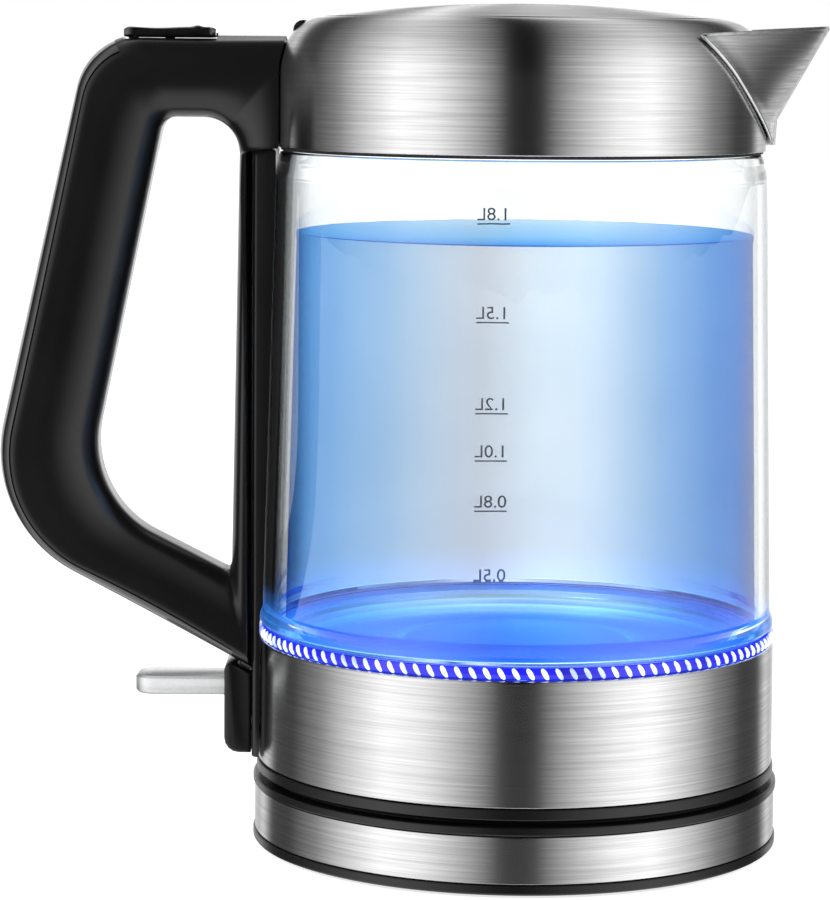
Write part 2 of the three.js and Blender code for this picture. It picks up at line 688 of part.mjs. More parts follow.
function steamTube() {
  const shape = new THREE.Shape([[-82.6, -3.6], [-79.7, -3.6], [-79.7, 3.6], [-82.6, 3.6]]
    .map(([x, y]) => new THREE.Vector2(x, y)));
  shape.holes.push(new THREE.Path([[-81.8, -2.8], [-80.5, -2.8], [-80.5, 2.8], [-81.8, 2.8]]
    .map(([x, y]) => new THREE.Vector2(x, y))));
  return new THREE.ExtrudeGeometry(shape, { depth: 172, bevelEnabled: false }).translate(0, 0, 50.8);
}

function screwAlongX(headX, y, z, length) {
  return join(rodX(2.6, headX - 1.3, headX, y, z, 12), rodX(1.2, headX - length, headX - 1, y, z, 12));
}

function handleGroup() {
  const group = new THREE.Group();
  group.add(part('handle_shell', handleShell(), satinBlack));
  group.add(part('handle_back_strip', common(handleSolid(), stripZone(GAP)), glossBlack));
  group.add(part('handle_spine', handleSpine(), satinBlack));
  group.add(part('steam_tube', steamTube(), silicone));
  group.add(part('switch_housing', switchHousing(), satinBlack));
  group.add(part('steam_switch', box(-85, -80, -8, 8, 36.2, 41.6), brass));
  group.add(part('switch_pivot', rodY(0.8, -10.4, 10.4, LEVER_PIVOT_X, LEVER_Z, 12), brightSteel));
  group.add(part('switch_lever', switchLever(), clearPlastic));
  group.add(part('release_button', releaseButton(), glossBlack));
  group.add(part('latch_slider', latchSlider(), satinBlack));
  group.add(part('button_spring', buttonSpring(), brightSteel));
  group.add(part('hinge_pin', rodY(1.2, -12.2, 12.2, HINGE_X, HINGE_Z, 12), brightSteel));
  group.add(part('lid_spring', lidSpring(), brightSteel));
  for (const [i, [y, z]] of UPPER_SCREWS.entries()) {
    group.add(part(`handle_screw_${i + 1}`, screwAlongX(-66, y, z, 14), brightSteel));
  }
  group.add(part('handle_screw_3', screwAlongX(-75, 0, LOWER_SCREW_Z, 8.5), brightSteel));
  return group;
}

const kettle = new THREE.Group();
kettle.add(powerBase(), swivelConnector(), heaterAndLights(), collarGroup(), lid(), handleGroup());

export default kettle;
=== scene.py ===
import bmesh
import bpy
import math
from mathutils import Matrix, Vector


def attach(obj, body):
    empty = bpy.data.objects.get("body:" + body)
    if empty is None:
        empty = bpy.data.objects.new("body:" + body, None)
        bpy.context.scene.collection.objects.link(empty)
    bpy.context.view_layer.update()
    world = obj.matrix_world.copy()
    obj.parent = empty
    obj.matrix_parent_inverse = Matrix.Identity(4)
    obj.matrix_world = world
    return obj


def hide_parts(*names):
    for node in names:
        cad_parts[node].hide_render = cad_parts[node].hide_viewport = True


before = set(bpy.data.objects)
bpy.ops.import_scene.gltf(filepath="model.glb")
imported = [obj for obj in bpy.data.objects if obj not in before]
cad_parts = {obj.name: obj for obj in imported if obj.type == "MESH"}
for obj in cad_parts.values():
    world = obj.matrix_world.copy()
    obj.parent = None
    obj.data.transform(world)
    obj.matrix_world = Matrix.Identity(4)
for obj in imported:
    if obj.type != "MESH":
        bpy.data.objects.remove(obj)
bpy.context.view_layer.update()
mm = 0.001


# ---- camera ----
# A long lens a metre away, a little above the lid, looking slightly down at the kettle's side.
# The handle is on the left and the spout on the right.
VIEW_DISTANCE = 1.0353
VIEW_PITCH = math.radians(6.88)
VIEW_ROLL = math.radians(0.5)
AIM = Vector((-0.0308, 0, 0.1174))

camera = bpy.data.objects.new("camera", bpy.data.cameras.new("camera"))
camera.data.lens = 138.3
camera.data.sensor_width = 36
away = Vector((0, -math.cos(VIEW_PITCH), math.sin(VIEW_PITCH)))
turn = Matrix.Rotation(math.pi / 2 - VIEW_PITCH, 4, "X") @ Matrix.Rotation(VIEW_ROLL, 4, "Z")
camera.matrix_world = Matrix.Translation(AIM + away * VIEW_DISTANCE) @ turn
bpy.context.scene.collection.objects.link(camera)
bpy.context.scene.camera = camera


# ---- studio: floor, soft boxes and sky ----
# A white floor under a sky of bright and dark bands, which polished round metal mirrors as upright
# streaks. Two soft boxes light the sides without showing in gloss.
SKY = {  # direction in degrees from the camera's side (a wall mirrors it at half that): brightness
    0: 0.0, 8: 0.01, 15: 0.2, 30: 0.55, 43: 0.85, 60: 1.0, 74: 0.68, 96: 0.2,
    116: 0.04, 134: 0.05, 144: 0.55, 152: 0.32, 160: 0.45, 170: 0.9,
    180: 1.0,
}
SKY_STRENGTH = 1.85
SKY_LEAN = 0.993  # close to the cosine of VIEW_PITCH, so that the bands run straight up a shoulder


def linear(code):
    """The linear colour of an sRGB hex value."""
    channels = [int(code[i:i + 2], 16) / 255 for i in (1, 3, 5)]
    curve = [c / 12.92 if c <= 0.04045 else ((c + 0.055) / 1.055) ** 2.4 for c in channels]
    return (*curve, 1)


def add(tree, kind, inputs=(), **settings):
    """Adds one node. inputs gives a value or another node's output for each input it names."""
    made = tree.nodes.new(kind)
    for name, value in settings.items():
        setattr(made, name, value)
    for name, value in dict(inputs).items():
        if isinstance(value, bpy.types.NodeSocket):
            tree.links.new(value, made.inputs[name])
        else:
            made.inputs[name].default_value = value
    return made


def ramp(tree, factor, stops):
    """Colours that change along factor; stops are (place, colour or sRGB hex value) pairs."""
    made = add(tree, "ShaderNodeValToRGB", {"Fac": factor})
    elements = made.color_ramp.elements
    while len(elements) < len(stops):
        elements.new(0.5)
    for element, (place, colour) in zip(elements, sorted(stops)):
        element.position = place
        element.color = linear(colour) if isinstance(colour, str) else colour
    return made.outputs["Color"]


def noise(tree, where, scale, detail):
    """A noise texture over the given coordinates."""
    return add(tree, "ShaderNodeTexNoise", {"Vector": where, "Scale": scale, "Detail": detail})


def times(tree, first, second):
    """One colour multiplied by another."""
    mixed = add(tree, "ShaderNodeMix", {
        0: 1.0, 6: first, 7: second,
    }, data_type="RGBA", blend_type="MULTIPLY")
    return mixed.outputs[2]


def soft_sky():
    """The banded sky: dimmer overhead, grey far below, and white where the camera looks at it."""
    ground_from = -0.5
    ground_full = -0.75
    dims_from = 0.3
    dims_to = 0.85
    dimmest = 0.55
    world = bpy.data.worlds.new("studio")
    world.use_nodes = True
    tree = world.node_tree
    tree.nodes.clear()
    ray = add(tree, "ShaderNodeTexCoord").outputs["Generated"]
    part = add(tree, "ShaderNodeSeparateXYZ", {0: ray})
    front = add(tree, "ShaderNodeMath", {0: SKY_LEAN, 1: part.outputs["Y"]}, operation="SUBTRACT")
    angle = add(tree, "ShaderNodeMath", {0: part.outputs["X"], 1: front.outputs[0]}, operation="ARCTAN2")
    size = add(tree, "ShaderNodeMath", {0: angle.outputs[0]}, operation="ABSOLUTE")
    share = add(tree, "ShaderNodeMath", {0: size.outputs[0], 1: math.pi / 2}, operation="DIVIDE")
    grey = [(degrees / 180, (value, value, value, 1)) for degrees, value in SKY.items()]
    bands = ramp(tree, share.outputs[0], grey)
    below = add(tree, "ShaderNodeMapRange", {
        0: part.outputs["Z"], 1: ground_from, 2: ground_full,
    })
    high = add(tree, "ShaderNodeMapRange", {
        0: part.outputs["Z"], 1: dims_from, 2: dims_to,
        3: SKY_STRENGTH, 4: dimmest * SKY_STRENGTH,
    })
    sky = add(tree, "ShaderNodeMix", {0: below.outputs[0], 6: bands, 7: (0.8, 0.8, 0.8, 1)},
              data_type="RGBA")
    lit = add(tree, "ShaderNodeBackground", {"Color": sky.outputs[2], "Strength": high.outputs[0]})
    white = add(tree, "ShaderNodeBackground", {"Color": (1, 1, 1, 1), "Strength": 1.0})
    seen = add(tree, "ShaderNodeLightPath").outputs["Is Camera Ray"]
    both = add(tree, "ShaderNodeMixShader", {0: seen, 1: lit.outputs[0], 2: white.outputs[0]})
    add(tree, "ShaderNodeOutputWorld", {"Surface": both.outputs[0]})
    bpy.context.scene.world = world


def shader(name, inputs):
    """A new material with one Principled shader. Gives the material, its tree and the shader."""
    material = bpy.data.materials.new(name)
    material.use_nodes = True
    tree = material.node_tree
    tree.nodes.clear()
    surface = add(tree, "ShaderNodeBsdfPrincipled", inputs)
    add(tree, "ShaderNodeOutputMaterial", {"Surface": surface.outputs[0]})
    return material, tree, surface


def place(name, mesh):
    """Puts a mesh, a curve, a text or a light in the scene as an object."""
    piece = bpy.data.objects.new(name, mesh)
    bpy.context.scene.collection.objects.link(piece)
    return piece


def white_floor():
    half = 6
    mesh = bpy.data.meshes.new("floor")
    corners = [(-half, -half, 0), (half, -half, 0), (half, half, 0), (-half, half, 0)]
    mesh.from_pydata(corners, [], [(0, 1, 2, 3)])
    floor = place("floor", mesh)
    material, tree, surface = shader("white sweep", {
        "Base Color": linear("#e8e8e8"), "Roughness": 0.9, "Emission Strength": 0.75,
    })
    cloud = add(tree, "ShaderNodeTexNoise", {"Scale": 3.0})
    tone = ramp(tree, cloud.outputs["Fac"], [(0, "#fbfbfb"), (1, "#ffffff")])
    tree.links.new(tone, surface.inputs["Emission Color"])
    mesh.materials.append(material)
    floor.visible_glossy = False


def soft_box(name, spot, size, watts):
    light = bpy.data.lights.new(name, "AREA")
    light.size = size
    light.energy = watts
    lamp = place(name, light)
    lamp.location = spot
    lamp.visible_glossy = False
    lamp.rotation_euler = (AIM - Vector(spot)).to_track_quat("-Z", "Y").to_euler()


soft_sky()
white_floor()
soft_box("soft box left", (-1.1, -1.0, 1.0), 0.8, 9)
soft_box("soft box right", (1.3, -0.7, 0.9), 0.8, 7)
bpy.context.scene.view_settings.view_transform = "Standard"


# ---- power base: lower cover ----
# The black rim the base stands on, moulded in polypropylene with a lightly textured satin skin.
# It screws up into the top cover from below and holds four rubber feet.
BASE_R = 78.8
BAND_LOW = 3.9
SIDES = 192


def rounded(corners, steps=4, closed=True):
    """Points of an outline whose corners are (a, b) or (a, b, radius), rounded to their radius."""
    points = []
    for i, corner in enumerate(corners):
        here = Vector(corner[:2])
        radius = corner[2] if len(corner) > 2 else 0
        end = not closed and i in (0, len(corners) - 1)
        if radius == 0 or end:
            points.append(here)
            continue
        back = Vector(corners[i - 1][:2]) - here
        forth = Vector(corners[(i + 1) % len(corners)][:2]) - here
        half = back.angle(forth) / 2
        reach = min(radius / math.tan(half), back.length * 0.48, forth.length * 0.48)
        radius = reach * math.tan(half)
        back.normalize()
        forth.normalize()
        centre = here + (back + forth).normalized() * radius / math.sin(half)
        start = here + back * reach - centre
        finish = here + forth * reach - centre
        sweep = start.angle_signed(finish)
        points.append(here + back * reach * 1.04)
        for step in range(steps + 1):
            points.append(centre + Matrix.Rotation(-sweep * step / steps, 2) @ start)
        points.append(here + forth * reach * 1.04)
    return points


def new_tree(name, sockets):
    """A geometry node tree with named inputs. Gives the tree, its inputs and its output node."""
    tree = bpy.data.node_groups.new(name, "GeometryNodeTree")
    for label, kind in sockets:
        tree.interface.new_socket(name=label, in_out="INPUT", socket_type=f"NodeSocket{kind}")
    tree.interface.new_socket(name="Geometry", in_out="OUTPUT", socket_type="NodeSocketGeometry")
    given = tree.nodes.new("NodeGroupInput").outputs
    return tree, given, tree.nodes.new("NodeGroupOutput")


def end_tree(tree, given, shape, out):
    """Every tree ends by making its instances real and giving them their material."""
    real = add(tree, "GeometryNodeRealizeInstances", {"Geometry": shape})
    made = add(tree, "GeometryNodeSetMaterial", {
        "Geometry": real.outputs[0], "Material": given["Material"],
    })
    tree.links.new(made.outputs[0], out.inputs[0])
    return tree


LATHE_R = 0.1


def lathe_tree():
    """Turns an outline about Z. The outline lies flat: radius less LATHE_R along X, height along -Y."""
    tree, given, out = new_tree("lathe", [
        ("Geometry", "Geometry"), ("Sides", "Int"), ("Material", "Material"),
    ])
    profile = add(tree, "GeometryNodeMeshToCurve", {0: given["Geometry"]})
    path = add(tree, "GeometryNodeCurvePrimitiveCircle", {
        "Resolution": given["Sides"], "Radius": LATHE_R,
    })
    swept = add(tree, "GeometryNodeCurveToMesh", {
        "Curve": path.outputs[0], "Profile Curve": profile.outputs[0],
    })
    joined = add(tree, "GeometryNodeMergeByDistance", {0: swept.outputs[0], "Distance": 1e-6})
    return end_tree(tree, given, joined.outputs[0], out)


LATHE = lathe_tree()


def with_tree(piece, tree, **values):
    """Adds a node tree to a piece and sets the inputs it names."""
    modifier = piece.modifiers.new(tree.name, "NODES")
    modifier.node_group = tree
    for item in tree.interface.items_tree:
        if item.in_out == "INPUT" and item.name in values:
            modifier[item.identifier] = values[item.name]
    return piece


def outward(mesh):
    """Joins doubled points, turns every face outwards and shades it smooth."""
    shape = bmesh.new()
    shape.from_mesh(mesh)
    bmesh.ops.remove_doubles(shape, verts=shape.verts, dist=1e-6)
    bmesh.ops.dissolve_degenerate(shape, edges=shape.edges, dist=1e-7)
    bmesh.ops.recalc_face_normals(shape, faces=shape.faces)
    for face in shape.faces:
        face.smooth = True
    shape.to_mesh(mesh)
    shape.free()
    return mesh


def baked(piece):
    """Replaces a piece by the plain mesh that its modifiers make."""
    graph = bpy.context.evaluated_depsgraph_get()
    mesh = bpy.data.meshes.new_from_object(piece.evaluated_get(graph), depsgraph=graph)
    name = piece.name
    bpy.data.objects.remove(piece)
    mesh.name = name
    return place(name, mesh)


def turned(name, corners, material, steps=4, sides=SIDES):
    """A turned piece from (radius, height, corner radius) in millimetres."""
    closed = corners[0][0] > 0
    points = rounded(corners, steps, closed)
    count = len(points)
    edges = [(i, i + 1) for i in range(count - 1)]
    if closed:
        edges.append((count - 1, 0))
    mesh = bpy.data.meshes.new(name)
    mesh.from_pydata([(r * mm - LATHE_R, -z * mm, 0) for r, z in points], edges, [])
    piece = baked(with_tree(place(name, mesh), LATHE, Sides=sides, Material=material))
    outward(piece.data)
    return piece


def hand_in(piece, body, slot, *nodes):
    """The piece rides on its body and stands for its CAD nodes, which are hidden; slot is not used."""
    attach(piece, body)
    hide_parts(*nodes)
    return piece


def satin_polypropylene():
    """Black moulded polypropylene: a fine spark-eroded grain that greys the highlights a little."""
    grain_mm = 0.5
    material, tree, surface = shader("moulded black polypropylene", {
        "IOR": 1.49, "Specular IOR Level": 0.4,
    })
    where = add(tree, "ShaderNodeTexCoord").outputs["Object"]
    grain = noise(tree, where, 1000 / grain_mm, 3.0)
    cloud = noise(tree, where, 25.0, 2.0)
    tone = ramp(tree, cloud.outputs["Fac"], [(0.3, "#0d0d0d"), (0.7, "#141415")])
    rough = add(tree, "ShaderNodeMapRange", {0: grain.outputs["Fac"], 3: 0.2, 4: 0.3})
    bump = add(tree, "ShaderNodeBump", {
        "Strength": 0.25, "Distance": 0.02 * mm, "Height": grain.outputs["Fac"],
    })
    tree.links.new(tone, surface.inputs["Base Color"])
    tree.links.new(rough.outputs[0], surface.inputs["Roughness"])
    tree.links.new(bump.outputs[0], surface.inputs["Normal"])
    return material


SATIN_BLACK = satin_polypropylene()
base_bottom = turned("lower_cover", [
    (0, 0.9), (20, 0.9, 0.2), (20, 1.8, 0.2), (76, 1.8, 0.2), (76.6, 0.8, 0.2),
    (BASE_R, 0.8, 0.9), (BASE_R, BAND_LOW - 0.2, 0.4), (74, BAND_LOW - 0.2, 0.3),
    (74, BAND_LOW - 0.6, 0.2), (0, BAND_LOW - 0.6),
], SATIN_BLACK)
hand_in(base_bottom, "power_base", "satin_black", "base_bottom")


# ---- power base: feet and screws ----
# Four soft rubber pads pressed into the lower cover, and three cross-head steel screws in it.
# Each set is one piece repeated round the axis.
FOOT_CIRCLE = 66
SCREW_CIRCLE = 48


def round_tree():
    """Repeats a piece round Z, the first copy turned by the start angle."""
    tree, given, out = new_tree("round the axis", [
        ("Geometry", "Geometry"), ("Count", "Int"), ("Start", "Float"), ("Material", "Material"),
    ])
    spots = add(tree, "GeometryNodeMeshLine", {"Count": given["Count"], "Offset": (0, 0, 0)})
    step = add(tree, "ShaderNodeMath", {0: 2 * math.pi, 1: given["Count"]}, operation="DIVIDE")
    index = add(tree, "GeometryNodeInputIndex")
    angle = add(tree, "ShaderNodeMath", {
        0: index.outputs[0], 1: step.outputs[0], 2: given["Start"],
    }, operation="MULTIPLY_ADD")
    rotation = add(tree, "ShaderNodeCombineXYZ", {"Z": angle.outputs[0]})
    copies = add(tree, "GeometryNodeInstanceOnPoints", {
        "Points": spots.outputs[0], "Instance": given["Geometry"], "Rotation": rotation.outputs[0],
    })
    return end_tree(tree, given, copies.outputs[0], out)


ROUND = round_tree()


def repeated(piece, count, start, material):
    """Copies of a piece round the axis, as one mesh; start is in degrees."""
    ring = baked(with_tree(piece, ROUND, Count=count, Start=math.radians(start), Material=material))
    for face in ring.data.polygons:
        face.use_smooth = True
    return ring


def moved(piece, x=0.0, y=0.0, z=0.0):
    """Moves a piece's mesh by millimetres."""
    piece.data.transform(Matrix.Translation(Vector((x, y, z)) * mm))
    return piece


def foot_rubber():
    """Soft black rubber: matt, a little dusty."""
    speck_mm = 1.2
    material, tree, surface = shader("black foot rubber", {"IOR": 1.52, "Roughness": 0.75})
    where = add(tree, "ShaderNodeTexCoord").outputs["Object"]
    dust = noise(tree, where, 1000 / speck_mm, 4.0)
    tone = ramp(tree, dust.outputs["Fac"], [(0.35, "#121212"), (0.75, "#232322")])
    bump = add(tree, "ShaderNodeBump", {
        "Strength": 0.3, "Distance": 0.05 * mm, "Height": dust.outputs["Fac"],
    })
    tree.links.new(tone, surface.inputs["Base Color"])
    tree.links.new(bump.outputs[0], surface.inputs["Normal"])
    return material


def plated_steel():
    """Bright zinc-plated or drawn steel: shiny, with a faint cloudiness."""
    material, tree, surface = shader("bright plated steel", {"Metallic": 1.0})
    where = add(tree, "ShaderNodeTexCoord").outputs["Object"]
    cloud = noise(tree, where, 400.0, 3.0)
    tone = ramp(tree, cloud.outputs["Fac"], [(0.3, "#bdbec0"), (0.7, "#d4d5d6")])
    rough = add(tree, "ShaderNodeMapRange", {0: cloud.outputs["Fac"], 3: 0.16, 4: 0.3})
    tree.links.new(tone, surface.inputs["Base Color"])
    tree.links.new(rough.outputs[0], surface.inputs["Roughness"])
    return material


RUBBER = foot_rubber()
BRIGHT_STEEL = plated_steel()
foot = turned("foot", [(0, 0), (6, 0, 0.5), (6, 1.7, 0.1), (0, 1.7)], RUBBER, sides=40)
feet = repeated(moved(foot, x=FOOT_CIRCLE), 4, 45, RUBBER)
feet.name = "rubber_feet"
hand_in(feet, "power_base", "black_rubber", "foot_1", "foot_2", "foot_3", "foot_4")


def block(*spans):
    """A closed box from its (x, x), (y, y) and (z, z) spans in millimetres, to cut or join with."""
    shape = bmesh.new()
    for corner in bmesh.ops.create_cube(shape, size=1)["verts"]:
        corner.co = [mm * (low if side < 0 else high) for side, (low, high) in zip(corner.co, spans)]
    mesh = bpy.data.meshes.new("block")
    shape.to_mesh(mesh)
    shape.free()
    return place("block", mesh)


def carved(piece, *cutters, operation="DIFFERENCE"):
    """Cuts the cutters from a piece, or joins them to it, and removes them."""
    for cutter in cutters:
        modifier = piece.modifiers.new("cut", "BOOLEAN")
        modifier.object = cutter
        modifier.operation = operation
        modifier.solver = "EXACT"
    result = baked(piece)
    for cutter in cutters:
        bpy.data.objects.remove(cutter)
    return result


def sharp(piece, degrees=32):
    """Shades a piece smooth, with an edge wherever its faces meet more steeply than this."""
    piece.data.shade_smooth()
    piece.data.set_sharp_from_angle(angle=math.radians(degrees))
    return piece


screw = turned("screw", [
    (0, 2), (2.6, 2, 0.3), (2.9, 3.4, 0.2), (1.6, 3.4), (1.6, 8), (0, 8),
], BRIGHT_STEEL, sides=32)
screw = carved(screw, block((-1.6, 1.6), (-0.35, 0.35), (1, 3)), block((-0.35, 0.35), (-1.6, 1.6), (1, 2.9)))
screw = moved(screw, x=SCREW_CIRCLE)
screws = sharp(repeated(screw, 3, 90, BRIGHT_STEEL))
screws.name = "base_screws"
hand_in(screws, "power_base", "bright_steel", "base_screw_1", "base_screw_2", "base_screw_3")


# ---- power base: steel band ----
# A strip of 0.8 mm stainless steel rolled into a hoop, its outside brushed round and round.
# The edges are turned in a hair, which gives them a thin bright line.
BAND_R = 78.3
BAND_HIGH = 17.6


def brushed_stainless(name, streak_mm, grain_mm, tones, around=True, slant=0.0, spread_by=0.85):
    """Brushed stainless steel. Long scratches follow the brushing, so light spreads across them.
    Real scratches are about 0.05 mm wide; these are drawn as wide as grain_mm, or they'd not show."""
    radius_mm = 75
    material, tree, surface = shader(name, {"Metallic": 1.0, "Anisotropic": spread_by})
    where = add(tree, "ShaderNodeTexCoord").outputs["Object"]
    part = add(tree, "ShaderNodeSeparateXYZ", {0: where})
    if around:
        flat = add(tree, "ShaderNodeCombineXYZ", {"X": part.outputs["X"], "Y": part.outputs["Y"]})
        reach = add(tree, "ShaderNodeVectorMath", {0: flat.outputs[0]}, operation="LENGTH")
        spoke = add(tree, "ShaderNodeVectorMath", {0: flat.outputs[0]}, operation="NORMALIZE")
        arc = add(tree, "ShaderNodeVectorMath", {
            0: spoke.outputs[0], "Scale": radius_mm / streak_mm,
        }, operation="SCALE")
        height = add(tree, "ShaderNodeMath", {
            0: part.outputs["Z"], 1: reach.outputs["Value"],
        }, operation="SUBTRACT")
        across = add(tree, "ShaderNodeMath", {0: height.outputs[0], 1: 1000 / grain_mm}, operation="MULTIPLY")
        step = add(tree, "ShaderNodeCombineXYZ", {"Z": across.outputs[0]})
        pattern = add(tree, "ShaderNodeVectorMath", {0: arc.outputs[0], 1: step.outputs[0]})
        pattern = pattern.outputs[0]
    else:
        pattern = add(tree, "ShaderNodeMapping", {
            "Vector": where, "Rotation": (0, slant, 0),
            "Scale": (1000 / streak_mm, 1000 / streak_mm, 1000 / grain_mm),
        }, vector_type="POINT").outputs[0]
    fine = noise(tree, pattern, 1.0, 3.0)
    coarse = noise(tree, pattern, 0.6, 2.0)
    both = add(tree, "ShaderNodeMath", {
        0: fine.outputs["Fac"], 1: coarse.outputs["Fac"],
    }, operation="MULTIPLY")
    stops = [(0.12, tones[0]), (0.27, tones[1]), (0.42, tones[2])]
    tone = ramp(tree, both.outputs[0], stops)
    rough = add(tree, "ShaderNodeMapRange", {0: both.outputs[0], 1: 0.12, 2: 0.42, 3: 0.27, 4: 0.22})
    normal = add(tree, "ShaderNodeNewGeometry").outputs["Normal"]
    if around:
        back = add(tree, "ShaderNodeMath", {0: part.outputs["Y"], 1: -1.0}, operation="MULTIPLY")
        brush = add(tree, "ShaderNodeCombineXYZ", {"X": back.outputs[0], "Y": part.outputs["X"]}).outputs[0]
    else:
        brush = add(tree, "ShaderNodeCombineXYZ", {
            "X": math.cos(slant), "Z": -math.sin(slant),
        }).outputs[0]
    spread = add(tree, "ShaderNodeVectorMath", {0: normal, 1: brush}, operation="CROSS_PRODUCT")
    tree.links.new(tone, surface.inputs["Base Color"])
    tree.links.new(rough.outputs[0], surface.inputs["Roughness"])
    tree.links.new(spread.outputs[0], surface.inputs["Tangent"])
    return material


BRUSHED_STEEL = brushed_stainless("brushed stainless steel", 34, 0.4, ("#b8b8b9", "#c8c8c8", "#d4d4d4"))
band = turned("steel_band", [
    (BAND_R - 0.8, BAND_LOW, 0.1), (BAND_R, BAND_LOW, 0.35), (BAND_R, BAND_HIGH, 0.35),
    (BAND_R - 0.8, BAND_HIGH, 0.1),
], BRUSHED_STEEL)
GLAND_Z = 10.5


def rod(name, radius, start, end, sides=40):
    """A cylinder between two points, all in millimetres."""
    start = Vector(start)
    line = Vector(end) - start
    shape = bmesh.new()
    bmesh.ops.create_cone(shape, cap_ends=True, segments=sides, radius1=radius * mm,
                          radius2=radius * mm, depth=line.length * mm)
    mesh = bpy.data.meshes.new(name)
    shape.to_mesh(mesh)
    shape.free()
    aim = line.to_track_quat("Z", "Y").to_matrix().to_4x4()
    mesh.transform(Matrix.Translation((start + line / 2) * mm) @ aim)
    return place(name, mesh)


band = sharp(carved(band, rod("hole", 6.2, (0, 70, GLAND_Z), (0, 82, GLAND_Z))), 40)
hand_in(band, "power_base", "brushed_steel", "base_band")


# ---- power base: top cover ----
# The black moulded cover on top of the band. A raised ring keeps the jug off it, and a second
# ring stands round the socket.
BASE_TOP = 20.3
base_top = turned("top_cover", [
    (21.4, 17.9, 0.2), (BASE_R, 17.9, 0.5), (BASE_R, BASE_TOP, 0.6), (74.6, BASE_TOP, 0.3),
    (74, 21.6, 0.3), (71, 21.6, 0.3), (70.4, 20.2, 0.4), (26, 20.2, 0.4), (24.5, 21.6, 0.4),
    (21.4, 21.6, 0.4),
], SATIN_BLACK)
hand_in(base_top, "power_base", "satin_black", "base_top")


# ---- power base: socket and contacts ----
# A moulded tower with three round slots, so that the jug can be set down facing any way. Two
# brass ring contacts stand in the slots.
socket = turned("socket_tower", [
    (3, 8, 0.2), (20.9, 8, 0.3), (20.9, 27, 1.2), (19, 30.5, 0.8), (16, 30.5, 0.3), (16, 16, 0.3),
    (12.5, 16, 0.3), (12.5, 30.5, 0.4), (8.5, 30.5, 0.4), (8.5, 16, 0.3), (5, 16, 0.2),
    (5, 30.5, 0.3), (3, 30.5, 0.3),
], SATIN_BLACK, sides=128)
hand_in(socket, "power_base", "satin_black", "base_socket")


def pressed_brass():
    """Pressed brass contact strip: warm, bright, with slight tarnish."""
    tarnish_mm = 4
    material, tree, surface = shader("pressed brass", {"Metallic": 1.0})
    where = add(tree, "ShaderNodeTexCoord").outputs["Object"]
    stain = noise(tree, where, 1000 / tarnish_mm, 4.0)
    tone = ramp(tree, stain.outputs["Fac"], [(0.3, "#a8853f"), (0.7, "#d9b968")])
    rough = add(tree, "ShaderNodeMapRange", {0: stain.outputs["Fac"], 3: 0.2, 4: 0.42})
    tree.links.new(tone, surface.inputs["Base Color"])
    tree.links.new(rough.outputs[0], surface.inputs["Roughness"])
    return material


def carried(material, *nodes):
    """CAD nodes whose shape is right keep it and get a finished material."""
    for node in nodes:
        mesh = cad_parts[node].data
        mesh.materials.clear()
        mesh.materials.append(material)


BRASS = pressed_brass()
CONTACT_RINGS = [
    ("contact_outer", "power_base", 13.6, 14.9, 16.3, 22),
    ("contact_inner", "power_base", 6.1, 7.4, 16.3, 22),
    ("pin_outer", "connector", 13.8, 14.7, 23, 31.1),
    ("pin_inner", "connector", 6.3, 7.2, 23, 31.1),
]
for name, body, inner, outer, low, high in CONTACT_RINGS:
    hoop = turned(name + "_hoop", [
        (inner, low, 0.3), (outer, low, 0.3), (outer, high, 0.3), (inner, high, 0.3),
    ], BRASS, steps=3, sides=96)
    hand_in(hoop, body, "brass", name)


# ---- power base: cord gland ----
# The rubber bush in the back of the band where a mains lead would come out. It keeps the solid
# model's shape, with its edges rounded.
def softened(name, node, width, material, segments=2):
    """A CAD node's shape as one clean mesh with its edges rounded by width millimetres."""
    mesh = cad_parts[node].data.copy()
    shape = bmesh.new()
    shape.from_mesh(mesh)
    bmesh.ops.remove_doubles(shape, verts=shape.verts, dist=1e-6)
    bmesh.ops.dissolve_limit(shape, angle_limit=math.radians(1), verts=shape.verts, edges=shape.edges)
    shape.to_mesh(mesh)
    shape.free()
    mesh.materials.clear()
    mesh.materials.append(material)
    piece = place(name, mesh)
    bevel = piece.modifiers.new("rounded edges", "BEVEL")
    bevel.width = width * mm
    bevel.segments = segments
    bevel.limit_method = "ANGLE"
    bevel.angle_limit = math.radians(40)
    return sharp(baked(piece), 38)


hand_in(softened("cord_bush", "cord_gland", 0.5, RUBBER), "power_base", "black_rubber", "cord_gland")


# ---- connector under the jug ----
# The cup that drops over the socket tower. It is fixed to the jug's underside and turns with it;
# its pins reach the contacts.
cup = turned("connector_cup", [
    (0, 31.4), (21.6, 31.4, 0.4), (21.6, 22.6, 0.3), (24.6, 22.6, 0.5), (24.6, 37, 0.4), (0, 37),
], SATIN_BLACK, sides=128)
hand_in(cup, "connector", "satin_black", "jug_connector")
earth_pin = turned("earth_pin", [(0, 20), (1.6, 20, 0.9), (1.6, 31.1, 0.1), (0, 31.1)], BRASS, sides=32)
hand_in(earth_pin, "connector", "brass", "pin_earth")


# ---- jug underside ----
# The black moulded ring and cover that close the steel housing from below. Only the ring's rim
# shows, with a dark gap between it and the base.
underside = turned("jug_underside", [
    (25.2, 22.8, 0.3), (70, 22.8, 0.3), (70.6, 21.9, 0.2), (77.8, 21.9, 0.7), (77.8, 25.2, 0.5),
    (76, 25.2, 0.2), (76, 27.5, 0.3), (74.8, 27.5, 0.2), (74.8, 25, 0.3), (25.2, 25, 0.3),
], SATIN_BLACK)
hand_in(underside, "jug", "satin_black", "jug_bottom")


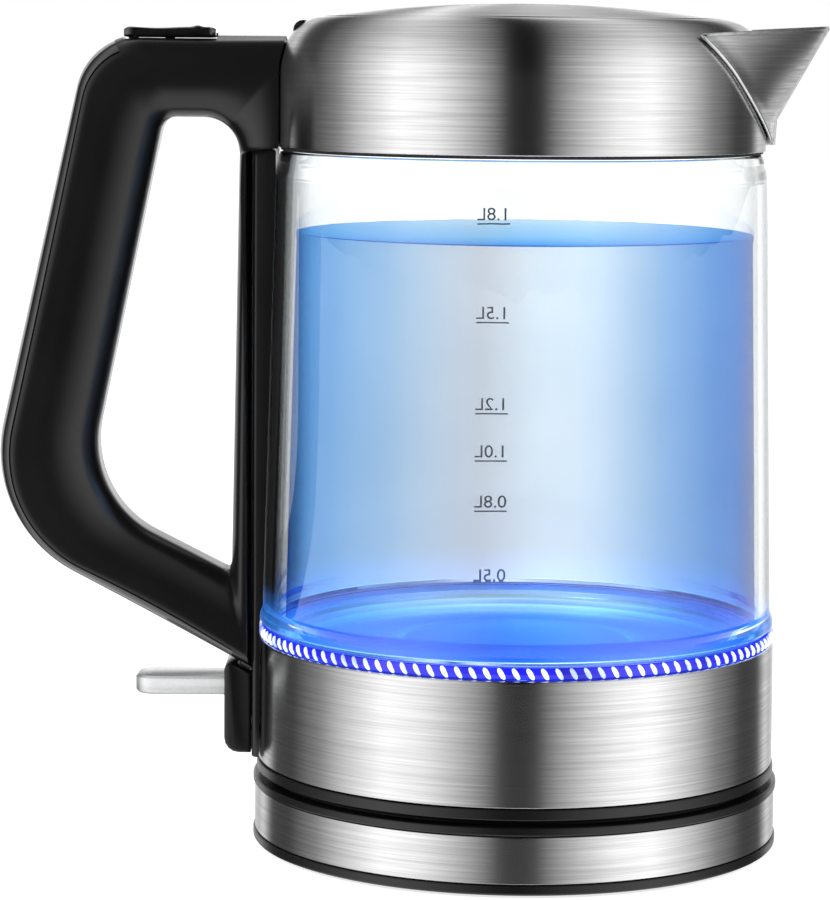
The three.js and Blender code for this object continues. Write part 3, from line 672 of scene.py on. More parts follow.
# ---- steel housing ----
# A deep-drawn stainless cup, brushed round. It hides the heater and the control unit, and its
# upper edge is rolled in under the light ring.
HOUSING_R = 77.4
HOUSING_LOW = 25.5
HOUSING_HIGH = 61.8
housing = turned("steel_housing", [
    (HOUSING_R - 0.8, HOUSING_LOW, 0.1), (HOUSING_R, HOUSING_LOW, 0.5), (HOUSING_R - 0.2, HOUSING_HIGH, 0.9),
    (75.6, HOUSING_HIGH, 0.1), (75.6, HOUSING_HIGH - 0.8, 0.1), (HOUSING_R - 1, HOUSING_HIGH - 0.8, 0.3),
], BRUSHED_STEEL)
hand_in(housing, "jug", "brushed_steel", "lower_housing")


# ---- control unit and heater ----
# Hidden inside the housing: the moulded control, and a sheathed element in cast aluminium that
# is soldered under the jug's floor.
def cast_aluminium():
    """Sand-cast aluminium: grey, grainy."""
    grain_mm = 0.8
    material, tree, surface = shader("cast aluminium", {"Metallic": 1.0})
    where = add(tree, "ShaderNodeTexCoord").outputs["Object"]
    grain = noise(tree, where, 1000 / grain_mm, 4.0)
    tone = ramp(tree, grain.outputs["Fac"], [(0.3, "#8c8e90"), (0.7, "#b4b6b7")])
    rough = add(tree, "ShaderNodeMapRange", {0: grain.outputs["Fac"], 3: 0.4, 4: 0.65})
    bump = add(tree, "ShaderNodeBump", {"Distance": 0.06 * mm, "Height": grain.outputs["Fac"]})
    tree.links.new(tone, surface.inputs["Base Color"])
    tree.links.new(rough.outputs[0], surface.inputs["Roughness"])
    tree.links.new(bump.outputs[0], surface.inputs["Normal"])
    return material


carried(SATIN_BLACK, "control_unit")
carried(cast_aluminium(), "heating_element")


# ---- jug floor ----
# The pressed stainless heating plate. It is polished, and the blue light from round its edge is
# painted on it as a glow: deep blue at the front, pale at the back and palest in the middle, with
# two white painted rings of reflected light. Its blue-tinted steel colour is painted light too.
def painted_glow_plate():
    """Polished stainless with painted blue light: a glow standing for the light that scatters in the
    water, painted rings of reflected light, and a blue-tinted steel colour.
    """
    material, tree, surface = shader("polished steel floor, painted blue glow", {
        "Metallic": 1.0, "Roughness": 0.18, "Emission Strength": 1.0,
    })
    where = add(tree, "ShaderNodeTexCoord").outputs["Object"]
    part = add(tree, "ShaderNodeSeparateXYZ", {0: where})
    flat = add(tree, "ShaderNodeCombineXYZ", {"X": part.outputs["X"], "Y": part.outputs["Y"]})
    reach = add(tree, "ShaderNodeVectorMath", {0: flat.outputs[0]}, operation="LENGTH")
    haze = noise(tree, where, 22.0, 2.0)
    drift = add(tree, "ShaderNodeMapRange", {0: haze.outputs["Fac"], 3: -6 * mm, 4: 6 * mm})
    place_out = add(tree, "ShaderNodeMath", {0: reach.outputs["Value"], 1: drift.outputs[0]})
    share = add(tree, "ShaderNodeMath", {0: place_out.outputs[0], 1: 72 * mm}, operation="DIVIDE")
    # Painted reflections: pale rings, white at half the radius and near the rim.
    rings = ramp(tree, share.outputs[0], [
        (0.0, "#f4f8ff"), (0.3, "#e4eeff"), (0.44, "#b9c8f4"), (0.5, "#ffffff"),
        (0.56, "#b4c4f4"), (0.8, "#c6d2f4"), (0.93, "#dce6ff"), (0.97, "#ffffff"),
    ])
    # Painted blue glow: deep blue at the front, pale at the back.
    depth = add(tree, "ShaderNodeMapRange", {0: part.outputs["Y"], 1: -70 * mm, 2: 70 * mm})
    painted_blue_glow = ramp(tree, depth.outputs[0], [
        (0.02, "#1230c4"), (0.3, "#1a52e2"), (0.6, "#36a4fa"), (0.85, "#70cfff"),
        (0.97, "#d6f0ff"),
    ])
    tree.links.new(times(tree, painted_blue_glow, rings), surface.inputs["Emission Color"])
    # Painted blue light in the steel's own colour.
    painted_blue_steel_tone = ramp(tree, haze.outputs["Fac"], [(0.3, "#7f96c4"), (0.7, "#a7bde0")])
    tree.links.new(painted_blue_steel_tone, surface.inputs["Base Color"])
    return material


floor_plate = turned("jug_floor", [
    (0, 60), (32, 60, 1), (34, 58.8, 1), (70.6, 58.8, 0.4), (70.6, 64, 0.2), (69.8, 64, 0.3),
    (69.8, 62, 1.5), (66, 60.2, 3), (58, 59.8, 3), (36, 59.8, 1.5), (33.5, 61, 1.5), (0, 61),
], painted_glow_plate())
hand_in(floor_plate, "jug", "bright_steel", "heating_plate")


# ---- lower seal and light ring ----
# A silicone seal under the glass, and round it a clear acrylic ring with a ribbed edge that
# carries the light of six blue lamps on a ring-shaped board.
RING_LOW = 62.1
RING_HIGH = 65.4
BEADS = 118


def moulded_silicone(name, glow):
    """Translucent moulded silicone: milky and waxy. glow is the strength of a painted blue glow that stands
    for the light it carries.
    """
    material, tree, surface = shader(name, {
        "Roughness": 0.45, "IOR": 1.41, "Transmission Weight": 0.4, "Emission Strength": glow,
        "Emission Color": linear("#5a9cff"),
    })
    where = add(tree, "ShaderNodeTexCoord").outputs["Object"]
    cloud = noise(tree, where, 150.0, 3.0)
    tone = ramp(tree, cloud.outputs["Fac"], [(0.3, "#cfd3d4"), (0.7, "#e4e7e8")])
    tree.links.new(tone, surface.inputs["Base Color"])
    return material


def lit_acrylic(name, deep, bright, strength):
    """Clear acrylic with blue light in it: bright where the light leaves, deep blue elsewhere."""
    patch_mm = 9
    material, tree, surface = shader(name, {
        "Roughness": 0.12, "IOR": 1.49, "Emission Strength": strength,
    })
    where = add(tree, "ShaderNodeTexCoord").outputs["Object"]
    patch = noise(tree, where, 1000 / patch_mm, 2.0)
    glow = ramp(tree, patch.outputs["Fac"], [(0.35, deep), (0.65, bright)])
    tree.links.new(glow, surface.inputs["Base Color"])
    tree.links.new(glow, surface.inputs["Emission Color"])
    return material


SILICONE = moulded_silicone("milky silicone", 0.0)
# The seal under the glass carries a painted blue glow.
lower_seal = turned("glass_seal", [
    (71, RING_LOW, 0.3), (73, RING_LOW, 0.3), (73, RING_HIGH, 0.4), (71, RING_HIGH, 0.4),
], moulded_silicone("milky silicone, painted blue glow", 0.55), sides=128)
hand_in(lower_seal, "jug", "silicone", "lower_seal")

DEEP_RING = lit_acrylic("lit acrylic, deep blue", "#0d0b98", "#2020d4", 0.85)
PALE_BEAD = lit_acrylic("lit acrylic, bright rib", "#8f9cff", "#e2f2ff", 1.0)
light_ring = turned("ring_of_light", [
    (73.4, RING_LOW, 0.3), (76.4, RING_LOW, 0.4), (76.9, RING_LOW + 1.6, 0.6), (76.4, RING_HIGH, 0.5),
    (73.4, RING_HIGH, 0.3),
], DEEP_RING)
hand_in(light_ring, "jug", "clear_plastic", "light_ring")

bead_shape = bmesh.new()
bmesh.ops.create_uvsphere(bead_shape, u_segments=10, v_segments=6, radius=mm)
bead_mesh = bpy.data.meshes.new("bead")
bead_shape.to_mesh(bead_mesh)
bead_shape.free()
bead_mesh.materials.append(PALE_BEAD)
bead_mesh.transform(Matrix.Rotation(math.radians(32), 4, "X") @ Matrix.Diagonal((1.0, 0.85, 1.9, 1)))
beads = repeated(
    moved(place("bead", bead_mesh), x=76.4, z=(RING_LOW + RING_HIGH) / 2), BEADS, 0, PALE_BEAD)
beads.name = "ring_ribs"
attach(beads, "jug")


def solder_mask():
    """A green circuit board under its solder mask, with the faint lines of its tracks."""
    track_mm = 1.6
    material, tree, surface = shader("green circuit board", {"Roughness": 0.35, "IOR": 1.55})
    where = add(tree, "ShaderNodeTexCoord").outputs["Object"]
    tracks = add(tree, "ShaderNodeTexVoronoi", {"Vector": where, "Scale": 1000 / track_mm})
    tone = ramp(tree, tracks.outputs["Distance"], [(0.2, "#1b5236"), (0.6, "#2c7a50")])
    tree.links.new(tone, surface.inputs["Base Color"])
    return material


def lamp_resin():
    """The clear blue resin of a lit diode."""
    material, tree, surface = shader("lit blue diode", {
        "Roughness": 0.2, "IOR": 1.5, "Emission Strength": 3.0,
    })
    where = add(tree, "ShaderNodeTexCoord").outputs["Object"]
    core = add(tree, "ShaderNodeTexNoise", {"Vector": where, "Scale": 600.0})
    glow = ramp(tree, core.outputs["Fac"], [(0.3, "#2b55ff"), (0.7, "#7fa8ff")])
    tree.links.new(glow, surface.inputs["Base Color"])
    tree.links.new(glow, surface.inputs["Emission Color"])
    return material


carried(solder_mask(), "led_board")
carried(lamp_resin(), *[f"led_{number}" for number in range(1, 7)])


# ---- glass jug ----
# One blown and pressed borosilicate tube, 3.2 mm thick, tapering upwards. Its foot flares above
# the light ring and its mouth is drawn in under the collar.
GLASS_LOW = 65.8
GLASS_HIGH = 206.6
WALL = 3.2


def borosilicate():
    """Clear, colourless borosilicate glass with the faintest waviness from blowing. Painted into its
    colour: shade greying it where it is seen edge-on and at its left and right sides, and a blue
    glow at its foot.
    """
    wave_mm = 30
    material, tree, surface = shader("borosilicate glass", {
        "Roughness": 0.0, "IOR": 1.45, "Transmission Weight": 1.0, "Emission Strength": 0.35,
    })
    where = add(tree, "ShaderNodeTexCoord").outputs["Object"]
    wave = noise(tree, where, 1000 / wave_mm, 1.0)
    tone = ramp(tree, wave.outputs["Fac"], [(0.3, "#f6f9fa"), (0.7, "#fcfdfd")])
    # Painted shade: the colour greys where the glass is seen edge-on.
    facing = add(tree, "ShaderNodeLayerWeight", {"Blend": 0.5}).outputs["Facing"]
    edge = ramp(tree, facing, [(0.7, "#ffffff"), (0.86, "#c4c8ca"), (0.95, "#8d9295")])
    # Painted shade by position: grey towards the left side, a little grey at the right edge.
    part = add(tree, "ShaderNodeSeparateXYZ", {0: where})
    inward = add(tree, "ShaderNodeMapRange", {0: part.outputs["X"], 1: -77 * mm, 2: 77 * mm})
    shade = ramp(tree, inward.outputs[0], [
        (0.0, "#8a8a8a"), (0.04, "#a0a1a2"), (0.07, "#ffffff"), (0.96, "#ffffff"),
        (0.985, "#c6c8c9"),
    ])
    both = times(tree, tone, times(tree, edge, shade))
    # Painted glow: blue light at the glass's foot, fading out by 78 mm up.
    climb = add(tree, "ShaderNodeMapRange", {0: part.outputs["Z"], 1: 66 * mm, 2: 78 * mm})
    glow = ramp(tree, climb.outputs[0], [
        (0.0, "#3f8cf0"), (0.4, "#2563b8"), (1.0, "#000000"),
    ])
    tree.links.new(glow, surface.inputs["Emission Color"])
    bump = add(tree, "ShaderNodeBump", {
        "Strength": 0.2, "Distance": 0.05 * mm, "Height": wave.outputs["Fac"],
    })
    tree.links.new(both, surface.inputs["Base Color"])
    tree.links.new(bump.outputs[0], surface.inputs["Normal"])
    return material


glass = turned("glass_body", [
    (72.6, GLASS_LOW, 0.5), (75.8, GLASS_LOW, 0.6), (77, 67, 1), (77, 68.8, 1), (76.1, 71.5, 4),
    (73.4, 185, 20), (73, 199, 5), (72.3, 203.6, 3), (71.3, GLASS_HIGH, 0.8),
    (71.3 - WALL, GLASS_HIGH, 0.8), (73 - WALL, 199, 6), (73.4 - WALL, 185, 20),
    (76.1 - WALL, 71.5, 4),
], borosilicate(), steps=6)
hand_in(glass, "jug", "clear_glass", "glass_jug")


# ---- water ----
# Filled to the top mark. It is clear; the light ring's blue is painted into its colour, most where
# one looks along its surface, and it climbs the glass a little at its edge.
WATER_TOP = 182.6
WATER_SHIFT = 1.2  # towards the spout


def water_with_painted_light():
    """Clear water whose colour carries painted blue light, standing for the light scattered in it:
    bluer where it is seen edge-on, greyer left of the middle and bluer at the right, darker towards
    the bottom, and deep blue at the front of its top surface, pale at the back. It bends no light,
    so that the level marks behind it keep their true width."""
    material, tree, surface = shader("water, painted blue light", {
        "Roughness": 0.0, "IOR": 1.0, "Transmission Weight": 1.0,
    })
    # Painted blue light: bluest where the water is seen edge-on, palest face on.
    facing = add(tree, "ShaderNodeLayerWeight", {"Blend": 0.5}).outputs["Facing"]
    painted_facing_blue = ramp(tree, facing, [
        (0.0, "#dde9f4"), (0.06, "#cfe1f2"), (0.2, "#a3c8ea"),
        (0.45, "#7db2e6"), (0.85, "#5f9fe2"), (0.94, "#3b7ce0"),
    ])
    where = add(tree, "ShaderNodeTexCoord").outputs["Object"]
    part = add(tree, "ShaderNodeSeparateXYZ", {0: where})
    # Painted light and shade across it: greyer left of the middle, white just right of it, bluer at the
    # right.
    along = add(tree, "ShaderNodeMapRange", {0: part.outputs["X"], 1: -70 * mm, 2: 70 * mm})
    side = ramp(tree, along.outputs[0], [
        (0.0, "#eef4f8"), (0.1, "#e8f0f4"), (0.22, "#dce4ea"), (0.42, "#e6dedd"),
        (0.54, "#ffffff"), (0.65, "#ffffff"), (0.8, "#d2e0f0"), (1.0, "#aac8ea"),
    ])
    # Darker towards the bottom.
    height = add(tree, "ShaderNodeMapRange", {0: part.outputs["Z"], 1: 110 * mm, 2: 165 * mm})
    fall = ramp(tree, height.outputs[0], [(0.0, "#eceef0"), (1.0, "#ffffff")])
    body = times(tree, painted_facing_blue, times(tree, side, fall))
    # Painted blue light on the top surface: deep blue at the front, pale at the back.
    depth = add(tree, "ShaderNodeMapRange", {0: part.outputs["Y"], 1: -68 * mm, 2: 68 * mm})
    skin = ramp(tree, depth.outputs[0], [
        (0.0, "#1257d8"), (0.12, "#2a7cea"), (0.35, "#5aaaf2"),
        (0.7, "#7fbff4"), (1.0, "#a8d8fa"),
    ])
    normal = add(tree, "ShaderNodeNewGeometry").outputs["Normal"]
    up = add(tree, "ShaderNodeSeparateXYZ", {0: normal}).outputs["Z"]
    flat = add(tree, "ShaderNodeMapRange", {0: up, 1: 0.7, 2: 0.95})
    whole = add(tree, "ShaderNodeMix", {0: flat.outputs[0], 6: body, 7: skin}, data_type="RGBA")
    tree.links.new(whole.outputs[2], surface.inputs["Base Color"])
    return material


water = turned("water", [
    (0, 62.2), (66.5, 62.2, 2), (70.5, 66.5, 2), (70.3, 72, 3), (67.6, WATER_TOP - 2, 4),
    (68, WATER_TOP + 0.5, 0.2), (65.9, WATER_TOP, 0.8), (0, WATER_TOP),
], water_with_painted_light(), steps=6)
moved(water, x=WATER_SHIFT)
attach(water, "jug")


# ---- level marks ----
# Printed in dark grey ceramic ink on the outside of the far wall, to be read from that side. Each
# is a short line under its number of litres.
LEVELS = [
    (64.9, "0.5L"), (89.0, "0.8L"), (105.3, "1.0L"), (120.6, "1.2L"), (149.9, "1.5L"), (181.5, "1.8L"),
]
MARK_X = (-12.0, -1.2)
LETTER_HEIGHT = 5.7


def ceramic_ink():
    """Fired ceramic ink: matt dark grey, slightly uneven."""
    material, tree, surface = shader("fired grey ink", {"Roughness": 0.6, "IOR": 1.5})
    where = add(tree, "ShaderNodeTexCoord").outputs["Object"]
    patch = noise(tree, where, 900.0, 2.0)
    tone = ramp(tree, patch.outputs["Fac"], [(0.3, "#34383c"), (0.7, "#4a4f54")])
    tree.links.new(tone, surface.inputs["Base Color"])
    return material


def glass_radius(z):
    """The glass's outside radius at a height, in millimetres."""
    return 76.1 + (73.4 - 76.1) * (z - 71.5) / (185 - 71.5)


def printed(name, text):
    """A flat text object turned into a mesh, lying in the XY plane."""
    font = bpy.data.curves.new(name, "FONT")
    font.body = text
    font.size = LETTER_HEIGHT * mm
    font.extrude = 0.02 * mm
    return baked(place(name, font))


def underline(shape, width, steps=9):
    """A thin closed bar, in short steps so that it can bend with the glass."""
    low = -1.4
    high = -0.95
    ink = 0.02
    corners = [(low, -ink), (high, -ink), (high, ink), (low, ink)]
    rows = []
    for i in range(steps + 1):
        rows.append([shape.verts.new((width * i / steps, y * mm, z * mm)) for y, z in corners])
    for near, far in zip(rows, rows[1:]):
        for k in range(4):
            shape.faces.new((near[k], near[k - 3], far[k - 3], far[k]))
    shape.faces.new(rows[0])
    shape.faces.new(rows[-1])


INK = ceramic_ink()
scale = bmesh.new()
for height, label in LEVELS:
    letters = printed("label", label)
    width = (MARK_X[1] - MARK_X[0]) * mm
    spread = max(v.co.x for v in letters.data.vertices)
    letters.data.transform(Matrix.Diagonal((width / spread, 1, 1, 1)))
    first = len(scale.verts)
    scale.from_mesh(letters.data)
    underline(scale, width)
    scale.verts.ensure_lookup_table()
    for vert in scale.verts[first:]:
        x = MARK_X[1] * mm - vert.co.x
        z = (height + 1.1) * mm + vert.co.y
        out = (glass_radius(z / mm) + 0.1) * mm + vert.co.z
        vert.co = Vector((x, math.sqrt(out ** 2 - x ** 2), z))
    bpy.data.objects.remove(letters)
scale_mesh = bpy.data.meshes.new("level_marks")
scale.to_mesh(scale_mesh)
scale.free()
outward(scale_mesh)
scale_mesh.materials.append(INK)
marks = place("level_marks", scale_mesh)
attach(marks, "jug")


# ---- upper seal ----
# The dark rubbery ring between the glass and the collar. Only its outer edge shows, as a thin
# line.
upper_seal = turned("mouth_seal", [
    (68.5, 206.9, 0.3), (71.3, 206.9, 0.3), (71.3, 211.2, 0.3), (68.5, 211.2, 0.3),
], RUBBER, sides=128)
hand_in(upper_seal, "jug", "black_rubber", "upper_seal")


# ---- collar ----
# Spun from 0.8 mm stainless and brushed round, with a rounded shoulder down to the lid's mouth.
# A notch at the back takes the hinge, and a window behind the spout lets the water out.
COLLAR_R = 72.6
COLLAR_LOW = 207.8
SHOULDER_LOW = 229
SHOULDER_DROP = 17
MOUTH_R = 60.1
HINGE_NOTCH_HALF = 13.4


def collar_radius(z):
    """The collar's outside radius at a height, in millimetres."""
    climb = min(max((z - SHOULDER_LOW) / SHOULDER_DROP, 0), 1)
    return MOUTH_R + (COLLAR_R - MOUTH_R) * math.sqrt(1 - climb ** 2)


def shoulder(shrink, steps=14):
    """The quarter ellipse of the collar's shoulder, from its foot to the mouth."""
    angles = [math.pi / 2 * step / steps for step in range(steps + 1)]
    return [
        (MOUTH_R + (COLLAR_R - MOUTH_R - shrink) * math.cos(a),
         SHOULDER_LOW + (SHOULDER_DROP - shrink) * math.sin(a)) for a in angles
    ]


def prism_x(name, outline, x0, x1):
    """A bar along X whose section is an outline of (y, z) points, in millimetres."""
    count = len(outline)
    points = [(x * mm, y * mm, z * mm) for x in (x0, x1) for y, z in outline]
    sides = [(i, (i + 1) % count, (i + 1) % count + count, i + count) for i in range(count)]
    mesh = bpy.data.meshes.new(name)
    mesh.from_pydata(points, [], [tuple(range(count)), tuple(range(count, 2 * count)), *sides])
    return place(name, outward(mesh))


POUR_WINDOW = [(-5, 213), (5, 213), (30, 231), (-30, 231)]
shell = turned("steel_collar", [
    (COLLAR_R - 0.8, COLLAR_LOW, 0.1), (COLLAR_R, COLLAR_LOW, 0.5), (COLLAR_R, SHOULDER_LOW - 6),
    *shoulder(0), (MOUTH_R, 241.5, 0.3), (MOUTH_R + 0.8, 241.5, 0.3), (MOUTH_R + 0.8, 244.8),
    *reversed(shoulder(0.8)[:-1]), (COLLAR_R - 0.8, SHOULDER_LOW - 6),
], BRUSHED_STEEL, steps=3)
notch = block((-76, -50), (-HINGE_NOTCH_HALF, HINGE_NOTCH_HALF), (238.4, 250))
latch_way = block((-77, -50.5), (-4.6, 4.6), (233.8, 239))
shell = sharp(carved(shell, prism_x("window", POUR_WINDOW, 52, 82), notch, latch_way), 40)
hand_in(shell, "jug", "brushed_steel", "collar")


# ---- liner and spout filter ----
# The black moulding inside the collar that carries the hinge's ears, and in front of the pour
# window a frame with a woven stainless sieve, which lifts out for cleaning.
liner = softened("collar_lining", "collar_liner", 0.3, SATIN_BLACK)
hand_in(liner, "jug", "satin_black", "collar_liner")
sieve_frame = softened("sieve_frame", "filter_frame", 0.4, SATIN_BLACK)
hand_in(sieve_frame, "jug", "satin_black", "filter_frame")


def sieve_tree():
    """A flat lattice of round wires in the XY plane."""
    tree, given, out = new_tree("woven sieve", [
        ("Geometry", "Geometry"), ("Width", "Float"), ("Height", "Float"), ("Columns", "Int"),
        ("Rows", "Int"), ("Wire radius", "Float"), ("Material", "Material"),
    ])
    lattice = add(tree, "GeometryNodeMeshGrid", {
        "Size X": given["Width"], "Size Y": given["Height"],
        "Vertices X": given["Columns"], "Vertices Y": given["Rows"],
    })
    lines = add(tree, "GeometryNodeMeshToCurve", {0: lattice.outputs[0]})
    section = add(tree, "GeometryNodeCurvePrimitiveCircle", {
        "Resolution": 5, "Radius": given["Wire radius"],
    })
    wires = add(tree, "GeometryNodeCurveToMesh", {
        "Curve": lines.outputs[0], "Profile Curve": section.outputs[0], "Fill Caps": True,
    })
    return end_tree(tree, given, wires.outputs[0], out)


sieve = with_tree(
    place("spout_sieve", bpy.data.meshes.new("spout_sieve")), sieve_tree(), Width=47 * mm, Height=12.4 * mm,
    Columns=40, Rows=11, Material=BRIGHT_STEEL, **{"Wire radius": 0.17 * mm})
sieve = baked(sieve)
upright = Matrix.Rotation(math.pi / 2, 4, "Z") @ Matrix.Rotation(math.pi / 2, 4, "X")
sieve.data.transform(Matrix.Translation(Vector((62.1, 0, 220.5)) * mm) @ upright)
hand_in(sieve, "jug", "bright_steel", "filter_mesh")


# ---- spout ----
# Folded from one stainless sheet into a sharp V and welded to the collar. Its fold catches a
# bright line, and it is brushed slantwise.
SPOUT_LOW = 209.4
SPOUT_ROOT_HIGH = 241.4
SPOUT_SPREAD = 46
KEEL_FOOT = (74.4, SPOUT_LOW)
KEEL_BEND = (74.9, 217)
TIP = (90, 243.9)
SPOUT_STEEL = brushed_stainless(
    "slant-brushed stainless steel", 22, 0.4, ("#b4b4b5", "#cacaca", "#dedede"),
    around=False, slant=math.radians(-52), spread_by=0.4)


def keel(u):
    """The fold's place (x, z): upright at the foot, then leaning out to the tip."""
    low = 0.2
    start, end, t = (KEEL_FOOT, KEEL_BEND, u / low) if u < low else (KEEL_BEND, TIP, (u - low) / (1 - low))
    return [a + (b - a) * t for a, b in zip(start, end)]


def spout_point(u, v, inner):
    """A point of a wing: u climbs the collar, v goes from one wing's root over the fold to the other."""
    fold_round = 0.07
    wing_crown = 0.4
    wall = 1.1
    z = SPOUT_LOW + (SPOUT_ROOT_HIGH - SPOUT_LOW) * u
    angle = math.radians(3 + (SPOUT_SPREAD - 3) * u ** 0.6 - (1 if inner else 0))
    radius = collar_radius(z) + 0.4
    keel_x, keel_z = keel(u)
    apex = keel_x - (wall if inner else 0)
    reach = (math.hypot(v, fold_round) - fold_round) / (math.hypot(1, fold_round) - fold_round)
    x = apex + (radius * math.cos(angle) - apex) * reach
    y = radius * math.sin(angle) * v * (1 + wing_crown * (1 - reach))
    z = keel_z + (z - keel_z) * reach
    least = collar_radius(z) + (0.35 if inner else 1.2)
    push = max(1, least / math.hypot(x, y))
    return x * push * mm, y * push * mm, z * mm


def spout_mesh(rows=48, half=24):
    """Both skins of the folded sheet, joined round its edge."""
    across = 2 * half + 1
    layer = (rows + 1) * across
    places = [j / half - 1 for j in range(across)]
    spread = [math.copysign(abs(v) ** 1.5, v) for v in places]
    points = [
        spout_point(i / rows, v, inner)
        for inner in (False, True) for i in range(rows + 1) for v in spread
    ]
    faces = []
    for i in range(rows):
        for j in range(across - 1):
            quad = [i * across + j, i * across + j + 1, (i + 1) * across + j + 1, (i + 1) * across + j]
            faces += [quad, [layer + k for k in reversed(quad)]]
    rim = [i * across for i in range(rows)] + [rows * across + j for j in range(across - 1)]
    rim += [i * across + across - 1 for i in range(rows, 0, -1)] + list(range(across - 1, 0, -1))
    for a, b in zip(rim, rim[1:] + rim[:1]):
        faces.append([a, b, b + layer, a + layer])
    mesh = bpy.data.meshes.new("folded_spout")
    mesh.from_pydata(points, [], faces)
    return outward(mesh)


spout = place("folded_spout", spout_mesh())
spout.data.materials.append(SPOUT_STEEL)
rolled_edge = spout.modifiers.new("rolled edge", "BEVEL")
rolled_edge.width = 0.28 * mm
rolled_edge.segments = 2
rolled_edge.limit_method = "ANGLE"
rolled_edge.angle_limit = math.radians(50)
spout = sharp(baked(spout), 45)
hand_in(spout, "jug", "brushed_steel", "spout")


def wire(name, points, radius, material):
    """A round wire through points given in metres."""
    curve = bpy.data.curves.new(name, "CURVE")
    curve.dimensions = "3D"
    curve.bevel_depth = radius * mm
    curve.bevel_resolution = 3
    curve.use_fill_caps = True
    line = curve.splines.new("POLY")
    line.points.add(len(points) - 1)
    for spot, point in zip(line.points, points):
        spot.co = (*point, 1)
    piece = baked(place(name, curve))
    outward(piece.data)
    piece.data.materials.clear()
    piece.data.materials.append(material)
    return piece


climb_steps = [i / 40 for i in range(41)]
rim_path = [spout_point(u, -1, False) for u in climb_steps[1:-1]]
rim_path += [spout_point(1, 2 * v - 1, False) for v in climb_steps]
rim_path += [spout_point(u, 1, False) for u in reversed(climb_steps[1:-1])]
rolled_rim = wire("spout_rolled_rim", rim_path, 0.5, BRIGHT_STEEL)
fold = wire("spout_fold", [spout_point(u, 0, False) for u in climb_steps], 0.62, BRIGHT_STEEL)
for bright_line in (rolled_rim, fold):
    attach(bright_line, "jug")


# ---- handle ----
# A moulded loop, rounded towards the hand: nearly flat on its sides by the back and falling away
# towards the finger hole. It butts against the collar, and its leg runs down beside the glass.
HANDLE_CORNERS = [
    (-64, 240.2), (-128.4, 240.2, 19.4), (-160.6, 95.3, 41), (-79.2, 51.8), (-79.2, 207.5), (-64, 207.5),
]
GRIP_HOLE = [(-83.1, 216.3, 12), (-105.6, 216.3, 4.5), (-129.4, 102.9, 31), (-85.3, 80.5, 1.5)]
HANDLE_HALF = 14.5
STRIP_DEPTH = 4.3
SEAM = 0.2
STRIP_END = -119.5
STRIP_TONGUE = -82.6


def stretch(points, start, end, count):
    """count points, evenly spaced, along a closed outline between the ones nearest start and end."""
    first = min(range(len(points)), key=lambda i: (points[i] - Vector(start)).length)
    last = min(range(len(points)), key=lambda i: (points[i] - Vector(end)).length)
    if last <= first:
        last += len(points)
    path = [points[i % len(points)] for i in range(first, last + 1)]
    lengths = [0]
    for a, b in zip(path, path[1:]):
        lengths.append(lengths[-1] + (b - a).length)
    result = []
    for step in range(count):
        goal = lengths[-1] * step / count
        k = max(i for i, reached in enumerate(lengths[:-1]) if reached <= goal)
        share = (goal - lengths[k]) / max(lengths[k + 1] - lengths[k], 1e-9)
        result.append(path[k].lerp(path[k + 1], share))
    return result


def handle_stations():
    """Pairs of points round the loop: one on the outer outline, one across it on the finger hole."""
    outer = rounded(HANDLE_CORNERS, 24)
    inner = rounded(GRIP_HOLE, 24)
    spans = [  # outer start and end, inner start and end, how many
        ((-64, 240.2), (-122, 236), (-87, 213.5), (-105, 214.5), 36),
        ((-122, 236), (-152, 106), (-105, 214.5), (-122, 104), 60),
        ((-152, 106), (-79.2, 51.8), (-122, 104), (-85.3, 80.5), 50),
        ((-79.2, 51.8), (-79.2, 207.5), (-85.3, 80.5), (-83.2, 204), 40),
        ((-79.2, 207.5), (-64, 240.2), (-83.2, 204), (-87, 213.5), 24),
    ]
    pairs = []
    for outer_start, outer_end, inner_start, inner_end, count in spans:
        pairs += zip(stretch(outer, outer_start, outer_end, count),
                     stretch(inner, inner_start, inner_end, count))
    return pairs


def section(width, steps=10):
    """Half of the grip's section, as (depth from the back, half width) from back to finger hole."""
    back = min(5.0, width * 0.35)
    fall = width * 0.58
    drop = 9.5
    lean = math.radians(16)
    turns = [math.pi / 2 * step / steps for step in range(steps + 1)]
    bends = [lean + (math.pi / 2 - lean) * step / steps for step in range(steps + 1)]
    side = HANDLE_HALF - 0.1
    crowned = side - back + back * math.sin(lean)
    rise = crowned * math.tan(lean) / 2
    points = [(rise * share ** 2, crowned * share) for share in (0, 0.25, 0.5, 0.75)]
    points += [
        (rise + back * (math.cos(lean) - math.cos(t)), side - back + back * math.sin(t)) for t in bends
    ]
    start = points[-1][0]
    points += [(start + (width - fall - start) * share, side) for share in (0.25, 0.5, 0.75)]
    points += [(width - fall + fall * math.sin(t), side - drop + drop * math.cos(t)) for t in turns]
    return points + [(width, (side - drop) * 0.5), (width, 0)]


def half_width(depth, width):
    """The section's half width at a depth from the back."""
    points = section(width)
    for (d0, y0), (d1, y1) in zip(points[1:], points[2:]):
        if d0 <= depth <= d1 and d1 > d0:
            return y0 + (y1 - y0) * (depth - d0) / (d1 - d0)
    return points[2][1]


def loop_mesh(name, rings, material, ends=False):
    """Joins equal rings of points, in millimetres, into one skin: closed round, or with two ends."""
    size = len(rings[0])
    points = [Vector(p) * mm for ring in rings for p in ring]
    count = len(rings)
    faces = []
    for i in range(count - 1 if ends else count):
        a, b = i * size, (i + 1) % count * size
        faces += [(a + k, a + (k + 1) % size, b + (k + 1) % size, b + k) for k in range(size)]
    if ends:
        faces += [tuple(range(size)), tuple(range((count - 1) * size, count * size))]
    mesh = bpy.data.meshes.new(name)
    mesh.from_pydata(points, [], faces)
    piece = place(name, outward(mesh))
    mesh.materials.append(material)
    return piece


